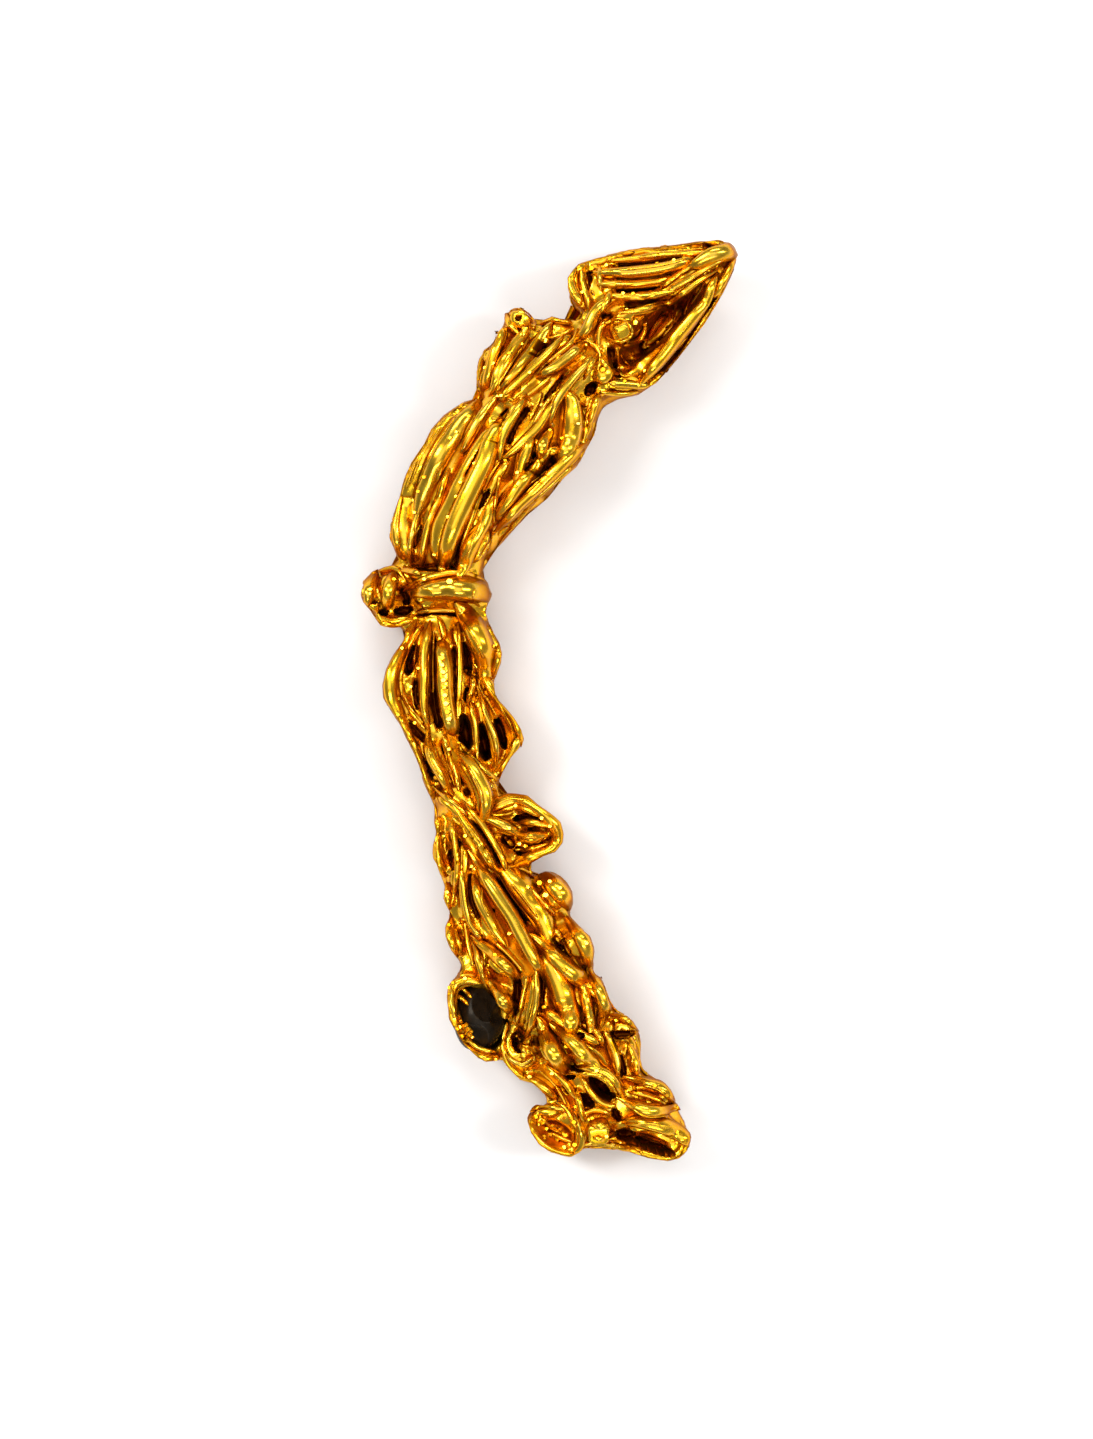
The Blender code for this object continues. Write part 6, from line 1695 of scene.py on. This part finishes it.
@dataclass(frozen=True)
class Outline:
    """The nugget's outline in plan, read clockwise from the notch at the crown's left, in millimetres."""

    rows: Plan = (
        (11.1, 42.3), (10.6, 43), (10.4, 43.7), (10.4, 44.3), (10.7, 44.7), (11, 45), (12, 45.3), (13.5, 45.6),
        (15, 45.8), (16.5, 46), (18, 46.2), (18.6, 46.1), (19.05, 45.4), (18.9, 44.8), (18.3, 43.5), (17.4, 42),
        (16, 40.2), (15, 39), (14.1, 38.35), (13, 38.15), (12.3, 37.8), (12, 37.2), (11.85, 36.4), (11.4, 35.6),
        (11, 34.8), (10.3, 34.2), (9.5, 33.2), (8.5, 32.4), (7.5, 31.4), (7, 30.8), (6.5, 30), (6.15, 29.45),
        (6.5, 29), (6.65, 28.5), (6.55, 27.95), (6.4, 27.6), (6.6, 27), (6.8, 26.5), (7.1, 26), (7.25, 25.5),
        (7.2, 25), (7, 24.5), (6.85, 23.9), (6.9, 23.3), (7.3, 22.9), (7.8, 22.3), (8.2, 21.7), (8.35, 21.2),
        (8.2, 20.8), (7.7, 20.3), (7.3, 19.6), (7.05, 19), (7.1, 18.5), (7.7, 18.55), (8.5, 18.45), (9, 18),
        (9.8, 17.45), (10.2, 17.1), (10.35, 16.5), (10.3, 16), (9.9, 15.5), (9.4, 15.35), (8.6, 14.9), (8.8, 14.4),
        (9.4, 14.65), (9.9, 14.6), (10.5, 14.1), (10.8, 13.6), (10.8, 13), (10.6, 12.4), (11.2, 11.8), (11.7, 11.4),
        (11.9, 10.8), (11.85, 10.2), (11.8, 9.6), (12.2, 9.3), (12.4, 8.8), (12.6, 8.2), (12.9, 7.7), (13.5, 7.4),
        (13.8, 7.1), (14.1, 6.6), (14.2, 6), (14.15, 5.2), (14.3, 4.7), (14.9, 4.3), (15.3, 4.2), (15.7, 3.7),
        (15.95, 3.1), (16.3, 2.4), (16.6, 1.9), (16.7, 1.3), (16.5, 0.6), (16.1, 0.2), (15.5, 0.05), (14.5, 0.2),
        (13.5, 0.5), (12.2, 0.65), (11.3, 0.6), (10.8, 0.2), (10.3, 0.3), (9.6, 0.5), (9, 0.9), (8.6, 1.5),
        (8.35, 2.3), (8.8, 3), (9.4, 2.9), (9.3, 3.4), (8.7, 3.95), (8.1, 4.1), (7.5, 4.7), (7.2, 5.1), (6.4, 5),
        (6, 5.2), (5.3, 5.9), (4.9, 6.5), (4.5, 7.2), (4.4, 8), (4.4, 9), (4.9, 9.55), (5.2, 9.7), (5, 10.1),
        (4.6, 10.6), (4.3, 11.3), (4.3, 11.8), (4.6, 12.4), (4.2, 13.2), (4.3, 13.8), (4.1, 14.3), (3.9, 14.9),
        (3.65, 15.3), (3.7, 15.9), (3.9, 16.5), (3.75, 17), (3.8, 17.8), (3.6, 18.3), (3.3, 19), (3, 19.9),
        (2.7, 20.6), (2.4, 21.2), (2, 22), (1.6, 22.6), (1.2, 23.2), (1.15, 23.9), (1.35, 24.7), (1.7, 25.4),
        (2.2, 26.1), (2.35, 26.5), (2.1, 26.75), (1.5, 26.65), (1.1, 26.8), (0.6, 27.6), (0.2, 28), (0.05, 28.4),
        (0.2, 29.1), (0.7, 29.6), (1.3, 29.85), (2.05, 30), (1.85, 30.5), (1.6, 31.2), (1.6, 31.8), (1.95, 33),
        (2.2, 34), (2.6, 35), (3.3, 36), (3.6, 36.7), (4.3, 37.4), (5.3, 38.1), (6.15, 38.3), (5.9, 38.7),
        (5.85, 39.5), (6, 40.2), (6.3, 40.7), (6.8, 41), (6.9, 41.6), (7.2, 41.9), (7.3, 42.5), (7.8, 42.8),
        (8.2, 42.8), (8.6, 42.5), (9, 42.05), (9.7, 42.4), (10.2, 42.2),
    )
    start: float = 0.05
    keep: float = 0.12
    undercut: float = 0.50
    rounding: float = 0.06
    eye: tuple[float, float, float] = (9.425, 22.175, 202.66)
    level: float = 2.8

    def inside(self, points: np.ndarray) -> tuple[np.ndarray, np.ndarray]:
        """Measures points against the outline, as the camera sees them.

        Args:
            points: rows of u, v and h.

        Returns:
            How far each is inside, below zero outside it, and the way inward from it.
        """
        nearer_by = (self.eye[2] - self.level) / (self.eye[2] - points[:, 2:3])
        places = self.eye[:2] + (points[:, :2] - self.eye[:2]) * nearer_by
        nearest = np.full(len(places), 1e9)
        inward = np.zeros((len(places), 2))
        within = np.zeros(len(places), bool)
        for a, b in zip(self.rows, self.rows[1:] + self.rows[:1]):
            edge = np.subtract(b, a)
            share = np.clip((places - a) @ edge / (edge @ edge), 0, 1)
            offset = places - a - share[:, None] * edge
            gap = np.hypot(*offset.T)
            nearer = gap < nearest
            nearest[nearer] = gap[nearer]
            inward[nearer] = (edge[1], -edge[0]) / np.hypot(*edge)
            clear = nearer & (gap > 0.05)
            facing = np.sign(np.sum(offset * inward, axis=1))
            inward[clear] = (offset * (facing / np.maximum(gap, 1e-6))[:, None])[clear]
            if edge[1]:
                crossing = (a[1] > places[:, 1]) != (b[1] > places[:, 1])
                within ^= crossing & (places[:, 0] < a[0] + (places[:, 1] - a[1]) * edge[0] / edge[1])
        return np.where(within, nearest, -nearest), inward

    def draw_in(self, mesh: Mesh) -> np.ndarray:
        """Draws back what stands out past the outline, and gives how far inside it each point was."""
        points = points_of(mesh)
        distance, inward = self.inside(points)
        low = self.undercut * eased((1.9 - points[:, 2]) / 1.9)
        high = self.rounding * eased((points[:, 2] - 3.6) / 2.4)
        short = np.clip(self.start + low + high - distance, 0, None)
        points[:, :2] += inward * (short * (1 - self.keep))[:, None]
        move_points(mesh, points)
        return distance


@dataclass
class Body:
    """The nugget's body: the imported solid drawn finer, with every heavy form grown into it."""

    regions: tuple[Region, ...]
    underside: Underside
    names: tuple[str, ...] = ("gold_crown_and_torso", "gold_waist_and_stem", "gold_shaft_and_foot")
    seams: tuple[float, ...] = (28.45, 17.2)
    base_voxel: float = 0.13
    skin_voxel: float = 0.092
    most_triangles: int = 430_000
    hollow_wall: float = 0.45
    outline: Outline = field(default_factory=Outline)
    fibre_depth: float = 0.008
    fibres_per_mm: float = 1.6
    lump_depth: float = 0.08
    pit_depth: float = 0.06
    wall_depth: float = 0.10
    least_height: float = 0.02

    def solid(self) -> Mesh:
        """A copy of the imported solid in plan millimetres, merged into one closed skin."""
        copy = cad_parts["gold_nugget"].data.copy()
        copy.materials.clear()
        points = points_of(copy) / METRES
        points[:, :2] += PLAN_MIDDLE
        move_points(copy, points)
        skin = bmesh.new()
        skin.from_mesh(copy)
        bmesh.ops.remove_doubles(skin, verts=skin.verts, dist=1e-4)
        skin.to_mesh(copy)
        skin.free()
        return copy

    def grown(self, loom: StrandLoom, finish: Material) -> Mesh:
        """The body with its heavy forms.

        Args:
            loom: makes the strands.
            finish: the gold.

        Returns:
            One fine, closed skin in millimetres.
        """
        voxel = self.base_voxel
        base = through(self.solid(), ("REMESH", {"mode": "VOXEL", "voxel_size": voxel, "adaptivity": 0.0}),
                       ("SMOOTH", {"factor": 0.5, "iterations": 20}))
        ground = Ground(base)
        forms = [base]
        for region in self.regions:
            forms += region.grown_forms(ground, loom, finish)
        forms.append(loom.weave(self.underside.heavy(ground), finish, knots=0.5, per_mm=0.8))
        fine = self.skin_voxel * 1.0
        return through(joined("grown", forms), ("REMESH", {"mode": "VOXEL", "voxel_size": fine, "adaptivity": 0.0}),
                       ("SMOOTH", {"factor": 0.5, "iterations": 9}))

    def sink(self, mesh: Mesh) -> None:
        """Sinks the hollows and the grooves into the upper side."""
        points = points_of(mesh)
        ground = Ground(mesh)
        for region in self.regions:
            for dent in region.hollows:
                near = np.flatnonzero(np.hypot(points[:, 0] - dent.u, points[:, 1] - dent.v) < dent.half_length * 1.05)
                place, _ = ground.below(dent.u, dent.v)
                turn = math.radians(dent.turn)
                east, north = points[near, 0] - dent.u, points[near, 1] - dent.v
                along = east * math.cos(turn) + north * math.sin(turn)
                across = north * math.cos(turn) - east * math.sin(turn)
                inside = 1 - np.hypot(along / dent.half_length, across / dent.half_width)
                upper = points[near, 2] > place.z - 1.4
                points[near, 2] -= np.where(upper, dent.depth * eased(inside / self.hollow_wall), 0)
            for slot in region.grooves:
                plan = flowing(slot.path, 0.1)
                low, high = plan.min(axis=0) - 0.4, plan.max(axis=0) + 0.4
                near = np.flatnonzero(np.all((points[:, :2] > low) & (points[:, :2] < high), axis=1))
                if not len(near):
                    continue
                gaps = np.full(len(near), 9.0)
                rows = np.zeros(len(near), int)
                for row, (u, v) in enumerate(plan):
                    gap = np.hypot(points[near, 0] - u, points[near, 1] - v)
                    closer = gap < gaps
                    gaps[closer], rows[closer] = gap[closer], row
                heights = np.array([ground.below(u, v)[0].z for u, v in plan])
                ends = np.minimum(np.arange(len(plan)), np.arange(len(plan))[::-1])
                share = np.clip(ends / 4, 0.15, 1)
                upper = points[near, 2] > heights[rows] - 0.9
                depth = slot.depth * share[rows] * eased((1.7 - gaps / slot.half_width) / 1.2)
                points[near, 2] -= np.where(upper, depth, 0)
        move_points(mesh, points)

    def roughen(self, mesh: Mesh) -> None:
        """Runs fibres along the flow of the strands and adds pits."""
        ground = Ground(mesh)
        laid = [laid_from_above(ground, piece, 0.25, 1).places for region in self.regions for piece in region.heavy]
        laid += [found.places for found in self.underside.heavy(ground)]
        places = np.vstack(laid)
        tangents = np.vstack([np.gradient(rows, axis=0) for rows in laid])
        tangents /= np.maximum(np.linalg.norm(tangents, axis=1), 1e-9)[:, None]
        numbers = np.concatenate([np.full(len(rows), number) for number, rows in enumerate(laid)])
        tree = KDTree(len(places))
        for row, place in enumerate(places):
            tree.insert(place, row)
        tree.balance()
        points, normals = points_of(mesh), normals_of(mesh)
        nearest = np.array([tree.find(point)[1] for point in points])
        flow = tangents[nearest]
        across = np.cross(flow, normals)
        across /= np.maximum(np.linalg.norm(across, axis=1), 1e-6)[:, None]
        offset = points - places[nearest]
        sideways = np.sum(offset * across, axis=1) + 0.15 * (cloud(points * 0.9, 3) - 0.5)
        lengthwise = np.sum(points * flow, axis=1)
        own = numbers[nearest] * 7.31
        fibre = ridges(np.column_stack([sideways * self.fibres_per_mm, lengthwise * 0.55, own]), 11)
        thread = ridges(np.column_stack([sideways * self.fibres_per_mm * 2.3, lengthwise * 0.9, own]), 12)
        lump = cloud(points * 0.9, 13) - 0.5
        pit = eased((cloud(points * 1.9, 14) - 0.80) / 0.10)
        strong = 0.55 + 0.9 * cloud(points * 0.5, 15)
        height = self.fibre_depth * strong * (fibre - 0.6) + 0.4 * self.fibre_depth * (thread - 0.5)
        height += self.lump_depth * lump - self.pit_depth * pit
        wall = eased((0.65 - np.abs(normals[:, 2])) / 0.35) * (1 - 0.8 * eased(1 - np.abs(points[:, 2] - 3) / 1.6))
        height -= wall * self.wall_depth * (0.9 * (1 - fibre) + cloud(points * 1.3, 16))
        points += normals * height[:, None]
        points[:, 2] = np.maximum(points[:, 2], self.least_height)
        move_points(mesh, points)

    def shade(self, mesh: Mesh) -> None:
        """Keeps how deep each point lies in the creases, with the painted shade of steep sides, as its value "hollow",
        which the gold paints as shade.
        """
        points, normals = points_of(mesh), normals_of(mesh)
        edges = np.empty(len(mesh.edges) * 2, np.int32)
        mesh.edges.foreach_get("vertices", edges)
        first, second = edges[::2], edges[1::2]
        count = len(points)
        degree = np.bincount(first, minlength=count) + np.bincount(second, minlength=count)
        smooth = points.copy()
        depth = np.zeros(count)
        for turn in range(24):
            total = np.empty_like(smooth)
            for axis in range(3):
                total[:, axis] = (np.bincount(first, smooth[second, axis], count)
                                  + np.bincount(second, smooth[first, axis], count))
            smooth = 0.5 * smooth + 0.5 * total / np.maximum(degree, 1)[:, None]
            if turn in (5, 23):
                depth = np.maximum(depth, np.sum((smooth - points) * normals, axis=1) / (0.07 if turn == 5 else 0.16))
        inside, _ = self.outline.inside(points)
        set_values(mesh, "hollow", np.maximum(eased(depth), shaded_sides(mesh, inside)))

    def parted(self, mesh: Mesh) -> list[Mesh]:
        """Cuts the skin into closed pieces at the seams, which the collars of gold hide."""
        bounds = [1e3, *self.seams, -1e3]
        parts = []
        for top, bottom in zip(bounds, bounds[1:]):
            part = bmesh.new()
            part.from_mesh(mesh)
            for level, away in ((top, 1), (bottom, -1)):
                if abs(level) > 500:
                    continue
                everything = part.verts[:] + part.edges[:] + part.faces[:]
                cut = bmesh.ops.bisect_plane(part, geom=everything, dist=1e-5, plane_co=(0, level, 0),
                                             plane_no=(0, away, 0), clear_outer=True)
                rim = [item for item in cut["geom_cut"] if isinstance(item, bmesh.types.BMEdge) and item.is_boundary]
                lids = bmesh.ops.triangle_fill(part, use_beauty=True, use_dissolve=False, edges=rim,
                                               normal=(0, away, 0))["geom"]
                for lid in lids:
                    if isinstance(lid, bmesh.types.BMFace):
                        lid.smooth = False
                for edge in rim:
                    edge.smooth = False
            bmesh.ops.recalc_face_normals(part, faces=part.faces)
            open_edges = sum(not edge.is_manifold for edge in part.edges)
            log.info("body part: %d faces, %d open edges", len(part.faces), open_edges)
            parts.append(finished("part", part))
        return parts

    def build(self, loom: StrandLoom, finish: Material) -> Mesh:
        """The whole skin in millimetres, before it is cut into pieces.

        Args:
            loom: makes the strands.
            finish: the gold.

        Returns:
            The skin.
        """
        skin = self.grown(loom, finish)
        log.info("skin: %d points", len(skin.vertices))
        self.outline.draw_in(skin)
        self.sink(skin)
        self.roughen(skin)
        skin.calc_loop_triangles()
        share = min(1.0, self.most_triangles / len(skin.loop_triangles))
        skin = through(skin, ("DECIMATE", {"ratio": share, "use_collapse_triangulate": True}))
        self.shade(skin)
        skin.polygons.foreach_set("use_smooth", np.ones(len(skin.polygons), bool))
        return skin

    def perches(self, mesh: Mesh) -> None:
        """Marks where small crystals may sit, as the value "perch"."""
        points, normals = points_of(mesh), normals_of(mesh)
        patchy = eased((cloud(points * 0.55, 21) - 0.52) / 0.16)
        lower = eased((22.0 - points[:, 1]) / 10.0) * 0.6 + 0.4
        inside, _ = self.outline.inside(points)
        set_values(mesh, "perch", patchy * lower * (normals[:, 2] > 0.35) * (inside > 0.35))

    def darken_contacts(self, mesh: Mesh, laid: Sequence[Mesh], reach: float = 0.08) -> None:
        """Paints contact shadow: deepens the value "hollow" close to what is laid on the skin."""
        tree = search_tree(joined("laid", laid))
        values = np.empty(len(mesh.vertices), np.float32)
        mesh.attributes["hollow"].data.foreach_get("value", values)
        for row, point in enumerate(points_of(mesh)):
            gap = tree.find_nearest(Vector(point), reach)[3]
            if gap is not None:
                values[row] = max(values[row], 0.6 * (1 - gap / reach))
        set_values(mesh, "hollow", values)


@dataclass
class Grain:
    """The dark mineral grain in its cup: a rounded lump with broken, shell-like faces."""

    name: str = "dark_grain"
    place: tuple[float, float, float] = (6.08, 7.35, 3.50)
    halves: tuple[float, float, float] = (1.28, 1.72, 1.02)
    turn: float = -6.0
    seed: int = 5
    scoops: int = 4

    def build(self) -> Mesh:
        """The grain's mesh in millimetres."""
        chance = random.Random(self.seed)
        mesh = ball((0, 0, 0), (1, 1, 1), 0, 6)
        points = points_of(mesh)
        for _ in range(self.scoops):
            middle = Vector((chance.uniform(-1, 1), chance.uniform(-1, 1), chance.uniform(0.1, 1))).normalized()
            radius = chance.uniform(1.0, 1.6)
            centre = np.array(middle * (1.0 + radius * 0.82))
            away = points - centre
            gap = np.linalg.norm(away, axis=1)
            inside = gap < radius
            points[inside] = centre + away[inside] / gap[inside, None] * radius
        points *= (1 + 0.05 * (cloud(points * 2.2, 31) - 0.5))[:, None]
        move_points(mesh, points * np.array(self.halves))
        mesh.transform(Matrix.Translation(self.place) @ Matrix.Rotation(math.radians(self.turn), 4, "Z"))
        mesh.polygons.foreach_set("use_smooth", np.ones(len(mesh.polygons), bool))
        return mesh


# ---- the studio


@dataclass(frozen=True)
class SoftBox:
    """A soft light: where it hangs, what it points at, its size and its power."""

    place: tuple[float, float, float]
    size: tuple[float, float]
    watts: float
    colour: Colour = (1.0, 1.0, 1.0)


@dataclass
class Studio:
    """The pale floor, the soft lights, the dim surroundings and the camera."""

    floor_half: float = 0.8
    camera_place: tuple[float, float, float] = (-0.000125, -0.00095, 0.20266)
    lens: float = 100.0
    sensor: float = 36.0
    boxes: tuple[SoftBox, ...] = (
        SoftBox((0.0, -0.05, 0.50), (0.34, 0.36), 0.53),
        SoftBox((-0.22, 0.12, 0.30), (0.09, 0.23), 0.84),
        SoftBox((0.24, 0.02, 0.26), (0.06, 0.20), 0.52),
        SoftBox((0.02, 0.28, 0.24), (0.24, 0.06), 0.42),
        SoftBox((0.03, -0.26, 0.28), (0.22, 0.06), 0.40),
    )
    sky: tuple[tuple[float, float], ...] = ((0.0, 0.36), (0.25, 0.32), (0.60, 0.19), (1.0, 0.38))
    backdrop: Colour = (0.95, 0.95, 0.95)

    def floor(self) -> Object:
        half = self.floor_half
        mesh = bpy.data.meshes.new("floor")
        mesh.from_pydata([(-half, -half, 0), (half, -half, 0), (half, half, 0), (-half, half, 0)], [], [(0, 1, 2, 3)])
        mesh.materials.append(PalePaper().material())
        thing = bpy.data.objects.new("studio_floor", mesh)
        bpy.context.scene.collection.objects.link(thing)
        return thing

    def lights(self) -> None:
        """Hangs the soft lights, each turned to the nugget."""
        for number, box in enumerate(self.boxes):
            lamp = bpy.data.lights.new(f"soft box {number}", "AREA")
            lamp.shape = "RECTANGLE"
            lamp.size, lamp.size_y = box.size
            lamp.energy = box.watts
            lamp.color = box.colour
            thing = bpy.data.objects.new(lamp.name, lamp)
            thing.location = box.place
            thing.rotation_euler = (-Vector(box.place)).to_track_quat("-Z", "Y").to_euler()
            thing.visible_camera = False
            bpy.context.scene.collection.objects.link(thing)

    def surroundings(self) -> None:
        """A dim room, pale at the horizon and overhead, which the camera itself sees as pale grey."""
        world = bpy.data.worlds.new("studio room")
        world.use_nodes = True
        maker = NodeMaker(world.node_tree)
        back = world.node_tree.nodes["Background"]
        height = maker.output("Z", "ShaderNodeSeparateXYZ", _0=maker.output("Generated", "ShaderNodeTexCoord"))
        maker.feed(back.inputs["Color"], maker.value("ShaderNodeValToRGB", {"stops": self.sky}, _0=height))
        either = maker.value("ShaderNodeMixShader", _0=maker.output("Is Camera Ray", "ShaderNodeLightPath"),
                             _1=back.outputs[0], _2=maker.value("ShaderNodeBackground", Color=self.backdrop))
        maker.feed(world.node_tree.nodes["World Output"].inputs[0], either)
        bpy.context.scene.world = world

    def camera(self) -> None:
        """Sets the camera over the nugget, as the photo was taken."""
        data = bpy.data.cameras.new("camera")
        data.lens = self.lens
        data.sensor_fit = "VERTICAL"
        data.sensor_height = data.sensor_width = self.sensor
        data.clip_start, data.clip_end = 0.01, 10.0
        thing = bpy.data.objects.new("camera", data)
        thing.location = self.camera_place
        bpy.context.scene.collection.objects.link(thing)
        bpy.context.scene.camera = thing

    def build(self) -> None:
        """Sets up the whole studio."""
        self.camera()
        self.floor()
        self.lights()
        self.surroundings()
        bpy.context.scene.view_settings.view_transform = "Standard"


# ---- the whole


def placed(name: str, mesh: Mesh, finish: Material, node: str) -> Object:
    """Brings a millimetre mesh into the frame as a finished piece.

    Args:
        name: the piece's name.
        mesh: its mesh, in plan millimetres.
        finish: its material.
        node: the CAD node that it stands for.

    Returns:
        The piece.
    """
    for layer in ("half_width", "up", "perch", "bead_size"):
        if layer in mesh.attributes:
            mesh.attributes.remove(mesh.attributes[layer])
    mesh.transform(Matrix.Scale(METRES, 4) @ Matrix.Translation((-PLAN_MIDDLE[0], -PLAN_MIDDLE[1], 0)))
    mesh.name = name
    mesh.materials.clear()
    mesh.materials.append(finish)
    piece = bpy.data.objects.new(name, mesh)
    bpy.context.scene.collection.objects.link(piece)
    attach(piece, "root")
    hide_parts(node)
    log.info("%s: %d faces", name, len(mesh.polygons))
    return piece


def main() -> None:
    """Builds the studio, the body, the strands, the crystals and the grain."""
    logging.basicConfig(level=logging.INFO, format="%(relativeCreated)d %(message)s")
    Studio().build()
    gold = NativeGold().material()
    loom = StrandLoom()
    regions = (Crown(), Shoulder(), Torso(), Waist(), Cage(), LoopKnob(), Shaft(), GrainCup(), Heel(), Foot())
    underside = Underside()
    body = Body(regions, underside)
    skin = body.build(loom, gold)
    grain = Grain().build()
    ground = Ground(skin)
    setter = BeadSetter()
    grain_ground = LayeredGround(ground, Ground(grain))
    laid = {region.name: region.build(grain_ground if isinstance(region, GrainCup) else ground, loom, setter, gold)
            for region in regions}
    laid[underside.name] = underside.build(ground, loom, gold)
    body.darken_contacts(skin, list(laid.values()))
    body.perches(skin)
    sower = CrystalSower()
    laid["small_crystals"] = sower.sow(cut_cube(1.0, 0.5), skin.copy(), 0.5, (0.04, 0.09), 4, gold)
    laid["small_lumps"] = sower.sow(lump(7), skin.copy(), 0.3, (0.14, 0.34), 9, gold)
    laid.update(zip(body.names, body.parted(skin)))
    for name, mesh in laid.items():
        placed(name, mesh, gold, "gold_nugget")
    placed(Grain.name, grain, DarkMineral().material(), "dark_mineral_grain")


if __name__ == "__main__":
    main()
